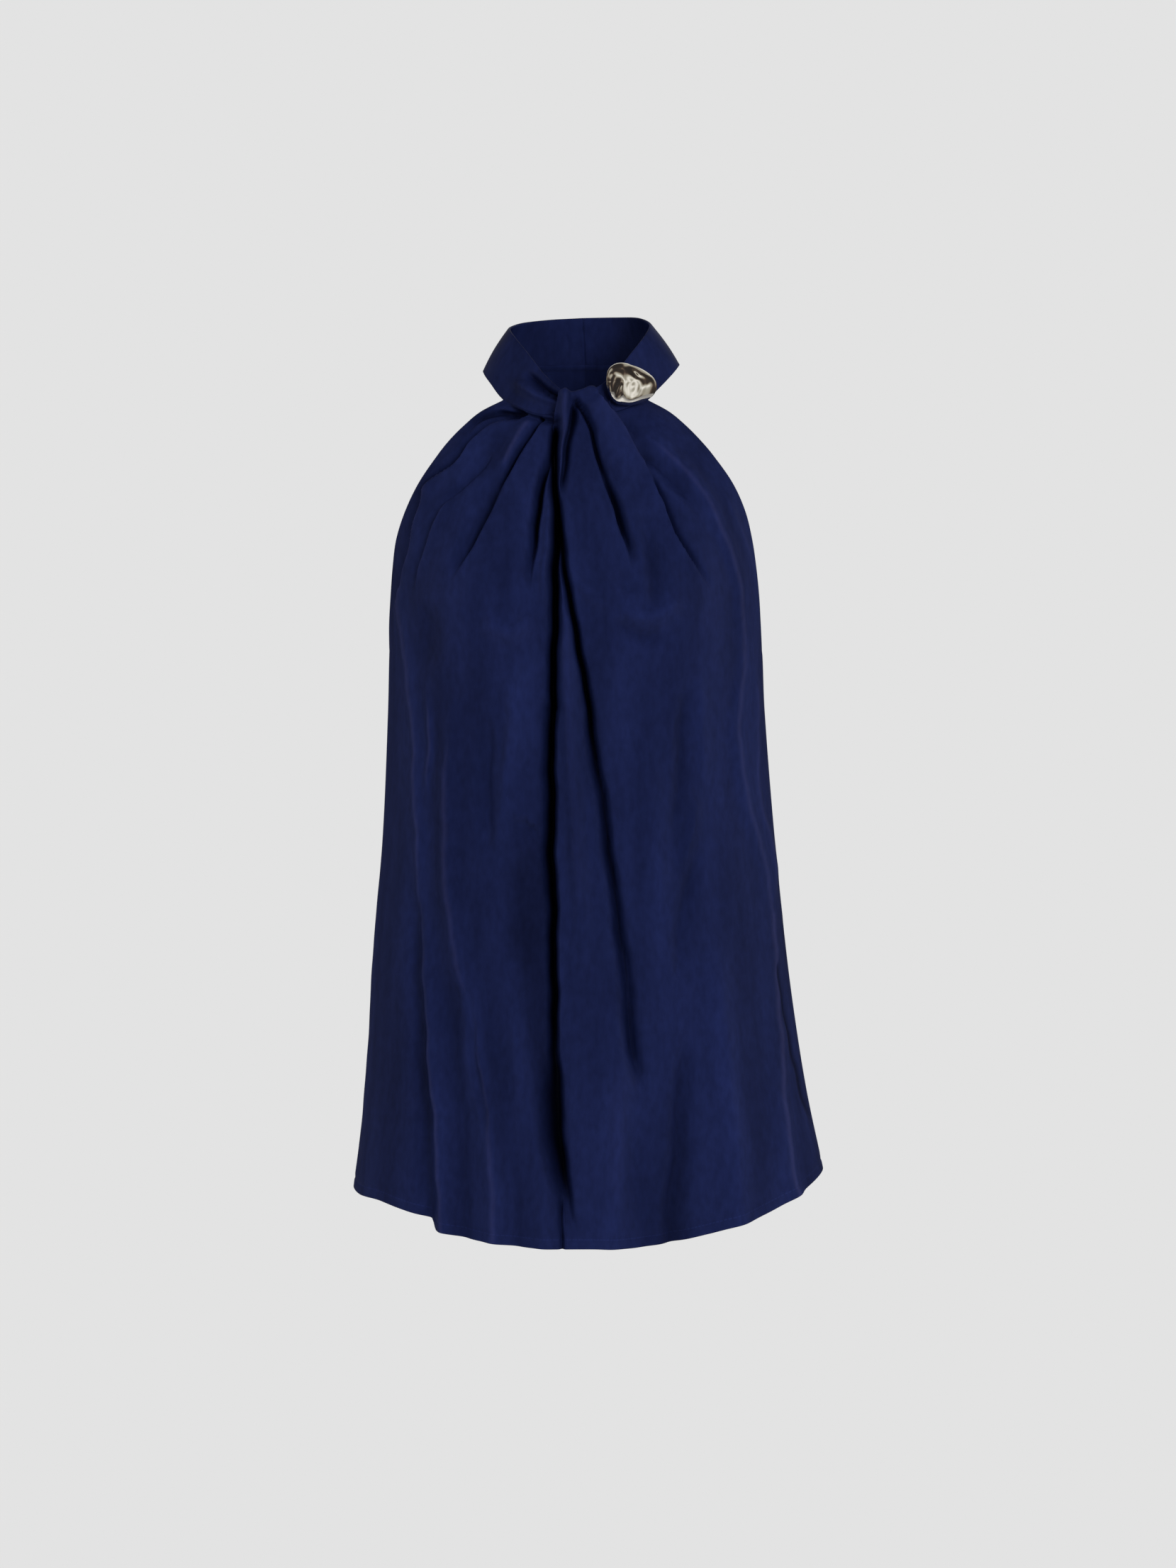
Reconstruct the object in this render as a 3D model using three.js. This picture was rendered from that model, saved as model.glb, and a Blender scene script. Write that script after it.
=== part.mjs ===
// Halter neck top in satin-backed cloth, worn shape with nobody in it. Millimetres, +Z up, front towards -Y.
// The origin is at the middle of the neck, level with the collar's lower edge at the front corners.
import * as THREE from "three";
import { mergeVertices } from "three/addons/utils/BufferGeometryUtils.js";

// Driving sizes
const CLOTH = 1.8; // wall of the body's cloth
const BAND = 2.0; // wall of the collar strip, which is folded double
const SEAM = 0.4; // gap where two pieces are sewn together
const UNDERARM = 1 / 3; // share of the side edge that is armhole
const SIDE_SEAM_Y = 8; // the side seams hang this far behind the neck's middle
const BUST_FULLNESS = 7; // how far the cut swells over each side of the chest
const FRONT_COLUMNS = 25;
const FRONT_ROWS = 36;
const BACK_COLUMNS = 10;
const BACK_ROWS = 21;
const COLLAR_COLUMNS = 18;
const COLLAR_ROWS = 4;
const COLUMN_CROWDING = 1.2; // columns stand closer at the centre front than at the guide column
const FINEST = 4.5; // narrowest fold side that the mesh carries
const FOLD_STEPS = 14; // straight stretches that a fold's line is measured along
const KNOB_BACK = 0.55; // share of the ornament's depth past which its back is pressed flat

// Centre front line by height
const CENTRE_FRONT = [
  { z: -9, x: -15, y: -74 },
  { z: -31, x: -18.5, y: -76 },
  { z: -72, x: -17.2, y: -92 },
  { z: -130, x: -17, y: -110 },
  { z: -165, x: -17.6, y: -116.5 },
  { z: -201, x: -18.5, y: -118 },
  { z: -277, x: -19, y: -114.5 },
  { z: -350, x: -18, y: -114 },
  { z: -431, x: -16.4, y: -118 },
  { z: -500, x: -14.6, y: -122 },
  { z: -572, x: -12.5, y: -127 },
  { z: -618, x: -10, y: -130 },
  { z: -664, x: -8.2, y: -133 },
];
// Centre back line by height
const CENTRE_BACK = [
  { z: 20, x: 6, y: 57 },
  { z: -30, x: 5.5, y: 69 },
  { z: -80, x: 5, y: 82 },
  { z: -130, x: 5, y: 90 },
  { z: -180, x: 4, y: 93 },
  { z: -250, x: 4, y: 88 },
  { z: -330, x: 4, y: 85 },
  { z: -420, x: 4, y: 91 },
  { z: -520, x: 4, y: 103 },
  { z: -650, x: 4, y: 118 },
];
// Height of each row at the centre line, by the row's share of the way from neck to hem
const FALL = {
  left: [{ v: 0, z: -29.6 }, { v: 0.06, z: -60 }, { v: UNDERARM, z: -222 }, { v: 1, z: -664 }],
  right: [{ v: 0, z: -9 }, { v: 0.06, z: -60 }, { v: UNDERARM, z: -222 }, { v: 1, z: -664 }],
  back: [{ v: 0, z: 19.4 }, { v: UNDERARM, z: -210 }, { v: 1, z: -650 }],
};
// Front armhole edge, then the side seam
const SIDE_LEFT = [
  { v: 0, x: -58.6, y: -35, z: -13 },
  { v: 0.027, x: -76, y: -38, z: -22.3 },
  { v: 0.051, x: -89.2, y: -41, z: -33.7 },
  { v: 0.072, x: -100.1, y: -42, z: -44.9 },
  { v: 0.091, x: -108.8, y: -44, z: -56.1 },
  { v: 0.127, x: -123.6, y: -46, z: -78.2 },
  { v: 0.16, x: -134.2, y: -45, z: -100.1 },
  { v: 0.19, x: -141.3, y: -42, z: -121.8 },
  { v: 0.22, x: -144.2, y: -40, z: -143.5 },
  { v: 0.251, x: -146.1, y: -34, z: -165.2 },
  { v: 0.284, x: -147.8, y: -24, z: -187 },
  { v: 0.308, x: -148.5, y: -9, z: -204 },
  { v: UNDERARM, x: -149, y: 8, z: -212 },
  { v: 0.4, x: -150, y: 8, z: -256 },
  { v: 0.55, x: -153.8, y: 8, z: -350 },
  { v: 0.7, x: -161, y: 8, z: -444.6 },
  { v: 0.8, x: -164, y: 8, z: -507 },
  { v: 0.9, x: -168.8, y: 8, z: -570 },
  { v: 1, x: -177, y: 8, z: -633 },
];
const SIDE_RIGHT = [
  { v: 0, x: 55.4, y: -35, z: -13 },
  { v: 0.027, x: 71.8, y: -38, z: -22.3 },
  { v: 0.051, x: 85, y: -41, z: -33.7 },
  { v: 0.072, x: 95.9, y: -42, z: -44.9 },
  { v: 0.091, x: 105.2, y: -44, z: -56.1 },
  { v: 0.127, x: 120.6, y: -46, z: -78.2 },
  { v: 0.16, x: 130.5, y: -45, z: -100.1 },
  { v: 0.19, x: 136, y: -42, z: -121.8 },
  { v: 0.22, x: 139.3, y: -40, z: -143.5 },
  { v: 0.251, x: 141.8, y: -34, z: -165.2 },
  { v: 0.284, x: 143.5, y: -24, z: -187 },
  { v: 0.308, x: 145, y: -9, z: -204 },
  { v: UNDERARM, x: 146, y: 8, z: -212 },
  { v: 0.4, x: 147.7, y: 8, z: -254 },
  { v: 0.55, x: 154.8, y: 8, z: -345 },
  { v: 0.7, x: 163.8, y: 8, z: -436 },
  { v: 0.8, x: 171.5, y: 8, z: -497 },
  { v: 0.9, x: 181, y: 8, z: -557 },
  { v: 1, x: 193.8, y: 8, z: -618 },
];
// Back armhole edge down to the underarm, for the left side; the right side mirrors it
const BACK_ARMHOLE = [
  { v: 0, x: -53, y: 38.5, z: 16.4 },
  { v: 0.02, x: -54, y: 43, z: 3 },
  { v: 0.05, x: -62, y: 48, z: -18 },
  { v: 0.075, x: -79, y: 51, z: -37 },
  { v: 0.1, x: -93, y: 53, z: -55 },
  { v: 0.16, x: -116, y: 54, z: -98 },
  { v: 0.22, x: -132, y: 49, z: -143 },
  { v: 0.27, x: -141, y: 37, z: -178 },
  { v: 0.304, x: -146, y: 23, z: -201 },
  { v: UNDERARM, x: -148, y: 8, z: -212 },
];
// Guide column of each front half, by share across: on the left it runs down the large pleat, on the
// right down the loop's edge and the long crease under it
const GUIDE = {
  left: {
    at: 10 / 25,
    rows: [
      { v: 0, a: 0.33 }, { v: 0.07, a: 0.26 }, { v: 0.125, a: 0.3 }, { v: 0.18, a: 0.35 },
      { v: 0.23, a: 0.4 }, { v: 0.4, a: 0.42 }, { v: 1, a: 0.42 },
    ],
  },
  right: {
    at: 7 / 25,
    rows: [
      { v: 0, a: 0.2 }, { v: 0.03, a: 0.11 }, { v: 0.06, a: 0.06 }, { v: 0.12, a: 0.032 }, { v: 0.19, a: 0.035 },
      { v: 0.265, a: 0.072 }, { v: 0.33, a: 0.103 }, { v: 0.4, a: 0.128 }, { v: 0.5, a: 0.148 },
      { v: 0.57, a: 0.169 }, { v: 0.66, a: 0.191 }, { v: 0.77, a: 0.206 }, { v: 0.82, a: 0.218 }, { v: 1, a: 0.215 },
    ],
  },
};
// Top edges, by share from the centre to the side edge
const NECK_LEFT = [
  { a: 0, x: -18.7, y: -70.5, z: -29.6 },
  { a: 0.35, x: -30.5, y: -64, z: -27.2 },
  { a: 0.68, x: -43.9, y: -55, z: -22 },
  { a: 1, x: -58.6, y: -35, z: -13 },
];
const NECK_RIGHT = [
  { a: 0, x: -15, y: -74, z: -9.5 },
  { a: 0.1, x: -10, y: -76.5, z: -7.5 },
  { a: 0.2, x: -5, y: -73, z: -9.6 },
  { a: 0.3, x: 2, y: -73.5, z: -8.2 },
  { a: 0.42, x: 13.3, y: -72.5, z: -5.5 },
  { a: 0.54, x: 24.8, y: -68, z: -18.5 },
  { a: 0.62, x: 29, y: -62, z: -25.4 },
  { a: 0.8, x: 45, y: -52, z: -19 },
  { a: 1, x: 55.4, y: -35, z: -13 },
];
const NECK_BACK = [
  { a: 0, x: 6, y: 57, z: 19.5 },
  { a: 0.5, x: -30, y: 52, z: 18.5 },
  { a: 1, x: -53, y: 38.5, z: 16.4 },
];
// Collar strips: upper edge (t) and lower edge (b) at stations from the centre back round to the throat
const COLLAR_LEFT = [
  { tx: 3.8, ty: 52, tz: 62, bx: 6, by: 57, bz: 20 },
  { tx: -24, ty: 48, tz: 60, bx: -30, by: 52, bz: 19 },
  { tx: -44, ty: 32, tz: 56, bx: -56, by: 36, bz: 17 },
  { tx: -53, ty: 10, tz: 50.5, bx: -72, by: 14, bz: 14 },
  { tx: -54, ty: -6, tz: 46, bx: -74, by: -4, bz: 10 },
  { tx: -49.5, ty: -22, tz: 38, bx: -68, by: -22, bz: -2 },
  { tx: -40, ty: -36, tz: 25, bx: -58.6, by: -35, bz: -12.3 },
  { tx: -26, ty: -52, tz: 6, bx: -43.9, by: -55, bz: -21.2 },
  { tx: -14, ty: -62, tz: -6, bx: -30.5, by: -64, bz: -26.5 },
  { tx: -8, ty: -65, tz: -10, bx: -12, by: -68.5, bz: -28.3 },
];
const COLLAR_RIGHT = [
  { tx: 4.3, ty: 52, tz: 62, bx: 6.5, by: 57, bz: 20 },
  { tx: 31, ty: 48, tz: 62, bx: 37, by: 52, bz: 19 },
  { tx: 48, ty: 32, tz: 60, bx: 60, by: 36, bz: 18 },
  { tx: 56.5, ty: 10, tz: 54, bx: 77, by: 14, bz: 16 },
  { tx: 57, ty: -6, tz: 48, bx: 79.5, by: -4, bz: 12 },
  { tx: 52, ty: -22, tz: 38, bx: 72, by: -22, bz: 0 },
  { tx: 43, ty: -36, tz: 25, bx: 55.4, by: -35, bz: -12.3 },
  { tx: 31, ty: -50, tz: 9, bx: 45, by: -52, bz: -18.2 },
  { tx: 18, ty: -59, tz: -3, bx: 29, by: -62, bz: -24.5 },
  { tx: 8, ty: -62, tz: -8, bx: 14, by: -64.5, bz: -26 },
];
// Folds of the front: a bowed line from (x0, z0) to (x1, z1); bow is how far its middle stands to the
// photo's right. lift is out of the body when positive; left and right are how far each flank reaches;
// rise and fall are the shares of the line over which the fold grows and dies away.
const FRONT_FOLDS = [
  { name: "centre", x0: -18.8, z0: -31, x1: -18.6, z1: -240, bow: 1.5, lift: -13, left: 5, right: 5, rise: 0.06, fall: 0 },
  { name: "centreLow", x0: -18.8, z0: -240, x1: -8.4, z1: -690, bow: -2, lift: -13, left: 5, right: 5, rise: 0, fall: 0.3 },
  { name: "second", x0: -12, z0: -118, x1: 51, z1: -566, bow: 5, lift: -12, left: 4.5, right: 5, rise: 0.3, fall: 0.35 },
  { name: "betweenValleys", x0: -6, z0: -210, x1: 16, z1: -560, bow: 1, lift: 4, left: 8, right: 9, rise: 0.2, fall: 0.3 },
  { name: "rollEdge", x0: -2.8, z0: -14, x1: -11, z1: -98, bow: -1.5, lift: -7, left: 3, right: 5, rise: 0.1, fall: 0.5 },
  { name: "roll", x0: -9.5, z0: -2, x1: -12.5, z1: -92, bow: -2, lift: 3.5, left: 4.5, right: 4.5, rise: 0, fall: 0.6 },
  { name: "flapValley", x0: -6, z0: -8, x1: 45, z1: -156, bow: 1.5, lift: -11, left: 3, right: 9, rise: 0.16, fall: 0.3 },
  { name: "softInner", x0: 40, z0: -82, x1: 56, z1: -172, bow: 5, lift: -6, left: 7, right: 7, rise: 0.4, fall: 0.35 },
  { name: "flapEdge", x0: 27, z0: -20, x1: 64, z1: -96, bow: 1, lift: 4.5, left: 16, right: 3.5, rise: 0.05, fall: 0.6 },
  { name: "flapShade", x0: 40, z0: -40, x1: 104, z1: -166, bow: 4, lift: -4.5, left: 4, right: 9, rise: 0.2, fall: 0.4 },
  { name: "innerEdge", x0: 54, z0: -72, x1: 100, z1: -166, bow: 3, lift: -5, left: 3, right: 10, rise: 0.3, fall: 0.35 },
  { name: "rightRidge", x0: 44, z0: -39, x1: 123, z1: -165, bow: 9, lift: 4.5, left: 7, right: 9, rise: 0.25, fall: 0 },
  { name: "rightRidgeLow", x0: 123, z0: -165, x1: 124, z1: -330, bow: 1, lift: 4.5, left: 7, right: 8, rise: 0, fall: 0.6 },
  { name: "leftPleat", x0: -29, z0: -31, x1: -95, z1: -160, bow: 4, lift: -11, left: 12, right: 3, rise: 0.12, fall: 0.35 },
  { name: "leftPleatTop", x0: -24, z0: -34, x1: -84, z1: -156, bow: 4, lift: 3, left: 4, right: 14, rise: 0.2, fall: 0.5 },
  { name: "innerPleat", x0: -18.5, z0: -52, x1: -37, z1: -165, bow: -2.5, lift: -9, left: 7, right: 3, rise: 0.3, fall: 0.35 },
  { name: "shoulder", x0: -42, z0: -27, x1: -136, z1: -128, bow: 9, lift: -5, left: 6, right: 5, rise: 0.1, fall: 0.3 },
  { name: "shoulderInner", x0: -46, z0: -31, x1: -92, z1: -64, bow: 4, lift: -3, left: 4, right: 4, rise: 0.2, fall: 0.4 },
  { name: "outerRidge", x0: -99, z0: -68, x1: -136, z1: -165, bow: 9, lift: 3.5, left: 4, right: 8, rise: 0.2, fall: 0 },
  { name: "outerRidgeMid", x0: -136, z0: -165, x1: -123, z1: -300, bow: 1, lift: 3.5, left: 5, right: 8, rise: 0, fall: 0 },
  { name: "outerRidgeLow", x0: -123, z0: -300, x1: -102, z1: -690, bow: 5, lift: 4.5, left: 4, right: 12, rise: 0, fall: 0 },
  { name: "outerShade", x0: -131, z0: -270, x1: -112, z1: -690, bow: 5, lift: -6, left: 12, right: 5, rise: 0.3, fall: 0 },
  { name: "secondRidge", x0: -90, z0: -78, x1: -125, z1: -170, bow: 6, lift: 2.5, left: 5, right: 7, rise: 0.3, fall: 0.3 },
  { name: "swagLeftOuter", x0: -90, z0: -160, x1: -53, z1: -198, bow: 6, lift: 3, left: 10, right: 6, rise: 0.4, fall: 0 },
  { name: "swagLeftInner", x0: -53, z0: -198, x1: -27, z1: -150, bow: 5, lift: 3, left: 6, right: 10, rise: 0, fall: 0.5 },
  { name: "swagRightInner", x0: 9, z0: -140, x1: 44, z1: -187, bow: -6, lift: 3.5, left: 6, right: 6, rise: 0.4, fall: 0 },
  { name: "swagRightOuter", x0: 44, z0: -187, x1: 80, z1: -168, bow: 5, lift: 3.5, left: 6, right: 6, rise: 0, fall: 0.4 },
  { name: "leftInnerRidge", x0: -34, z0: -150, x1: -41, z1: -300, bow: 0, lift: 4, left: 8, right: 9, rise: 0.3, fall: 0.3 },
  { name: "leftHollow", x0: -97, z0: -190, x1: -88, z1: -300, bow: 0, lift: -3, left: 12, right: 12, rise: 0.3, fall: 0.4 },
  { name: "leftDrape", x0: -99, z0: -300, x1: -61, z1: -690, bow: 9, lift: 4, left: 14, right: 11, rise: 0.3, fall: 0.1 },
  { name: "leftTrough", x0: -64, z0: -270, x1: -68, z1: -470, bow: 0, lift: -4, left: 10, right: 10, rise: 0.3, fall: 0.4 },
  { name: "leftTroughLow", x0: -84, z0: -440, x1: -84, z1: -690, bow: 4, lift: -3.5, left: 10, right: 9, rise: 0.4, fall: 0 },
  { name: "rightTrough", x0: 84, z0: -182, x1: 75, z1: -366, bow: -2, lift: -5, left: 8, right: 10, rise: 0.3, fall: 0.4 },
  { name: "rightTroughLow", x0: 86, z0: -350, x1: 70, z1: -690, bow: 9, lift: -5, left: 10, right: 12, rise: 0.3, fall: 0.1 },
  { name: "rightDrape", x0: 60, z0: -420, x1: 52, z1: -690, bow: 2, lift: 3.5, left: 9, right: 12, rise: 0.4, fall: 0 },
  { name: "rightFlank", x0: 132, z0: -290, x1: 150, z1: -690, bow: 3, lift: 4, left: 11, right: 9, rise: 0.3, fall: 0 },
  { name: "rightFlankTrough", x0: 112, z0: -300, x1: 118, z1: -690, bow: 2, lift: -4, left: 10, right: 10, rise: 0.3, fall: 0 },
];
// Folds of the back, not shown in the photo: easy vertical drapes under the shoulder blades
const BACK_FOLDS = [
  { name: "bladeLeft", x0: -40, z0: -10, x1: -78, z1: -230, bow: 6, lift: 3, left: 10, right: 10, rise: 0.2, fall: 0.5 },
  { name: "bladeRight", x0: 46, z0: -10, x1: 82, z1: -240, bow: -6, lift: 3, left: 10, right: 10, rise: 0.2, fall: 0.5 },
  { name: "drapeLeft", x0: -62, z0: -240, x1: -84, z1: -690, bow: 4, lift: 6, left: 16, right: 14, rise: 0.4, fall: 0 },
  { name: "drapeRight", x0: 58, z0: -230, x1: 92, z1: -690, bow: -4, lift: 6, left: 14, right: 17, rise: 0.4, fall: 0 },
  { name: "troughLeft", x0: -24, z0: -280, x1: -36, z1: -690, bow: 0, lift: -5, left: 13, right: 12, rise: 0.5, fall: 0 },
  { name: "troughRight", x0: 30, z0: -260, x1: 44, z1: -690, bow: 0, lift: -5, left: 12, right: 13, rise: 0.5, fall: 0 },
];
// Creases of the collar strips where they run into the throat
const COLLAR_FOLDS = [
  { name: "stripRidge", x0: -50, z0: -2, x1: -16, z1: -17, bow: 2, lift: 2.2, left: 6, right: 5, rise: 0.4, fall: 0 },
  { name: "stripValley", x0: -36, z0: 8, x1: -15, z1: -13, bow: 1, lift: -2.6, left: 4, right: 4, rise: 0.35, fall: 0 },
];
// Metal ornament: sizes, where it sits, and its lumps (direction, lift, reach)
const KNOB = { wide: 44, high: 32, deep: 19, x: 41.8, y: -57.4, z: -3, turn: 32, tip: 14, lean: -6 };
const LUMPS = [
  { x: -0.8, y: -0.3, z: 0.3, lift: 0.1, reach: 0.55 },
  { x: 0.7, y: -0.5, z: 0.3, lift: 0.1, reach: 0.5 },
  { x: 0.1, y: -0.9, z: 0.4, lift: 0.12, reach: 0.45 },
  { x: -0.1, y: -0.9, z: -0.3, lift: -0.16, reach: 0.34 },
  { x: 0.45, y: -0.8, z: -0.25, lift: 0.1, reach: 0.35 },
  { x: 0.25, y: -0.9, z: 0.05, lift: -0.14, reach: 0.26 },
  { x: -0.5, y: -0.5, z: -0.7, lift: 0.08, reach: 0.5 },
  { x: 0.6, y: -0.3, z: -0.8, lift: -0.1, reach: 0.5 },
  { x: -0.5, y: -0.8, z: 0.1, lift: -0.06, reach: 0.3 },
];

const lerp = (a, b, t) => a + (b - a) * t;
const clamp01 = (t) => Math.min(1, Math.max(0, t));
const smooth = (t) => { const c = clamp01(t); return c * c * (3 - 2 * c); };

// Smooth value of one column of a table at a given key, rows sorted along the key
function track(rows, key, column, at) {
  const last = rows.length - 1;
  const way = rows[last][key] > rows[0][key] ? 1 : -1;
  const k = (i) => rows[i][key] * way;
  const p = Math.min(k(last), Math.max(k(0), at * way));
  let i = 0;
  while (i < last - 1 && p > k(i + 1)) i += 1;
  const slope = (j) => {
    const lo = Math.max(0, j - 1);
    const hi = Math.min(last, j + 1);
    return (rows[hi][column] - rows[lo][column]) / (k(hi) - k(lo));
  };
  const span = k(i + 1) - k(i);
  const t = (p - k(i)) / span;
  const a = rows[i][column];
  const b = rows[i + 1][column];
  return (2 * t ** 3 - 3 * t ** 2 + 1) * a + (t ** 3 - 2 * t ** 2 + t) * span * slope(i)
    + (-2 * t ** 3 + 3 * t ** 2) * b + (t ** 3 - t ** 2) * span * slope(i + 1);
}

function trackPoint(rows, key, at) {
  return new THREE.Vector3(track(rows, key, "x", at), track(rows, key, "y", at), track(rows, key, "z", at));
}

function sidePoint(half, v) {
  const point = trackPoint(half === "left" ? SIDE_LEFT : SIDE_RIGHT, "v", v);
  if (v >= UNDERARM) point.y = SIDE_SEAM_Y;
  return point;
}

// Points along a fold's bowed line
function foldLine(fold) {
  const dx = fold.x1 - fold.x0;
  const dz = fold.z1 - fold.z0;
  const length = Math.hypot(dx, dz);
  const points = [];
  for (let i = 0; i <= FOLD_STEPS; i += 1) {
    const s = i / FOLD_STEPS;
    const out = fold.bow * 4 * s * (1 - s);
    points.push([fold.x0 + dx * s - (dz / length) * out, fold.z0 + dz * s + (dx / length) * out]);
  }
  return points;
}

// Height of all the folds over the place (x, z) of the bare form. A fold with no rise carries on from the
// one before it where that has no fall, and the two don't add up where they meet.
function relief(folds, x, z) {
  let sum = 0;
  let run = 0;
  let before = 1;
  for (const fold of folds) {
    fold.line ??= foldLine(fold);
    let best = Infinity;
    let share = 0;
    let side = 0;
    for (let i = 0; i < FOLD_STEPS; i += 1) {
      const [ax, az] = fold.line[i];
      const [bx, bz] = fold.line[i + 1];
      const ux = bx - ax;
      const uz = bz - az;
      const t = clamp01(((x - ax) * ux + (z - az) * uz) / (ux * ux + uz * uz));
      const px = x - ax - ux * t;
      const pz = z - az - uz * t;
      const d = Math.hypot(px, pz);
      if (d < best) {
        best = d;
        share = (i + t) / FOLD_STEPS;
        side = -px * uz + pz * ux;
      }
    }
    const flank = Math.max(FINEST, side > 0 ? fold.right : fold.left);
    const grown = fold.rise > 0 ? smooth(share / fold.rise) : 1;
    const left = fold.fall > 0 ? smooth((1 - share) / fold.fall) : 1;
    const height = fold.lift * grown * left * Math.exp(-((best / flank) ** 2));
    if (fold.rise === 0 && before === 0) {
      if (Math.abs(height) > Math.abs(run)) run = height;
    } else {
      sum += run;
      run = height;
    }
    before = fold.fall;
  }
  return sum + run;
}

// Rounded quarter section between a centre point and a side point
function quarter(centre, side, share, power, sag, reach = 1) {
  const angle = (share * Math.PI) / 2;
  const c = Math.cos(angle);
  const s = Math.sin(angle);
  const r = (Math.abs(c) ** power + Math.abs(s) ** power) ** (-1 / power);
  const across = s * r;
  const point = new THREE.Vector3(
    lerp(centre.x, side.x, across),
    lerp(side.y, centre.y, c * r),
    lerp(centre.z, side.z, Math.abs(across / reach) ** sag),
  );
  const wide = side.x - centre.x;
  const deep = centre.y - side.y;
  const out = new THREE.Vector3((Math.sign(wide) * s) / Math.abs(wide), c / deep, 0).normalize();
  return { point, out };
}

// The quarter ring through an edge that stops short of the side seam, as an armhole does
function ringThrough(centre, edge, power) {
  const deep = Math.max(0, (edge.y - SIDE_SEAM_Y) / (centre.y - SIDE_SEAM_Y));
  const wide = (1 - deep ** power) ** (1 / power);
  const side = new THREE.Vector3(centre.x + (edge.x - centre.x) / wide, SIDE_SEAM_Y, edge.z);
  return { side, wide, share: Math.atan2(wide, deep) / (Math.PI / 2) };
}

function sectionPoint(centre, edge, a, power, sag) {
  const ring = ringThrough(centre, edge, power);
  return quarter(centre, ring.side, a * ring.share, power, sag, ring.wide);
}

// Bare form and folds of the front at a share across (0 centre, 1 side edge) and down (0 neck, 1 hem)
function frontPoint(half, a, v) {
  const isLeft = half === "left";
  const z = track(FALL[half], "v", "z", v);
  const centre = new THREE.Vector3(track(CENTRE_FRONT, "z", "x", z), track(CENTRE_FRONT, "z", "y", z), z);
  const side = sidePoint(half, v);
  const power = lerp(1.9, 2.35, smooth(v / 0.25));
  const sag = lerp(2, isLeft ? 1.8 : 3, v);
  const { point, out } = sectionPoint(centre, side, a, power, sag);
  const settle = clamp01(1 - v / 0.12) ** 2;
  if (settle > 0) {
    const neck = trackPoint(isLeft ? NECK_LEFT : NECK_RIGHT, "a", a);
    const top = sidePoint(half, 0);
    const z0 = track(FALL[half], "v", "z", 0);
    const middle = new THREE.Vector3(track(CENTRE_FRONT, "z", "x", z0), track(CENTRE_FRONT, "z", "y", z0), z0);
    const bare = sectionPoint(middle, top, a, 1.9, 2).point;
    point.addScaledVector(neck.sub(bare), settle);
  }
  const chest = Math.exp(-(((Math.abs(point.x + 2) - 74) / 40) ** 2) - (((point.z + 172) / 62) ** 2));
  const sewn = isLeft || a > 0.56 ? smooth(v / 0.03) : 1;
  const edge = 1 - smooth((a - 0.86) / 0.14);
  const lift = (relief(FRONT_FOLDS, point.x, point.z) * sewn + BUST_FULLNESS * chest) * edge;
  return point.addScaledVector(out, lift);
}

// How much of the right front quarter belongs to the front: its side seam swings forward below the hip
const seamShare = (half, v) => (half === "right" ? 1 - 0.075 * smooth((v - 0.6) / 0.3) : 1);

function backPoint(half, share, v) {
  const side = sidePoint(half, v);
  if (share > 1) return frontPoint(half, 2 - share, v);
  const flip = half === "left" ? 1 : -1;
  if (v < UNDERARM) {
    const arm = trackPoint(BACK_ARMHOLE, "v", v);
    side.set(arm.x * flip - (half === "right" ? 2 * smooth(v / UNDERARM) : 0), arm.y, arm.z);
    if (half === "left") side.x -= smooth(v / UNDERARM);
  }
  const z = track(FALL.back, "v", "z", v);
  const centre = new THREE.Vector3(track(CENTRE_BACK, "z", "x", z), track(CENTRE_BACK, "z", "y", z), z);
  centre.x += (half === "left" ? -0.5 : 0.5) * SEAM;
  const { point, out } = sectionPoint(centre, side, share, lerp(2, 2.3, smooth(v / 0.3)), lerp(2, 2.2, v));
  const settle = clamp01(1 - v / 0.1) ** 2;
  if (settle > 0) {
    const neck = trackPoint(NECK_BACK, "a", share);
    const top = trackPoint(BACK_ARMHOLE, "v", 0);
    const middle = trackPoint(NECK_BACK, "a", 0);
    if (half === "right") neck.x = lerp(6, 53, (neck.x - 6) / -59);
    top.x *= flip;
    middle.z = track(FALL.back, "v", "z", 0);
    const bare = sectionPoint(middle, top, share, 2, 2).point;
    point.addScaledVector(neck.sub(bare), settle);
  }
  const edge = (1 - smooth((share - 0.85) / 0.15)) * smooth(v / 0.06);
  return point.addScaledVector(out, relief(BACK_FOLDS, point.x, point.z) * edge);
}

function collarPoint(stations, along, down) {
  const rows = stations.map((row, i) => ({ ...row, s: i / (stations.length - 1) }));
  const at = (c) => track(rows, "s", c, along);
  const top = new THREE.Vector3(at("tx"), at("ty"), at("tz"));
  const foot = new THREE.Vector3(at("bx"), at("by"), at("bz"));
  const point = top.clone().lerp(foot, down);
  const out = new THREE.Vector3(point.x - 1, point.y * 1.1, 12).normalize();
  const front = smooth((-point.y - 20) / 20);
  const belly = 1.4 * Math.sin(Math.PI * down);
  const held = Math.min(1, 4 * down * (1 - down));
  return point.addScaledVector(out, belly + relief(COLLAR_FOLDS, point.x, point.z) * front * held);
}

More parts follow.
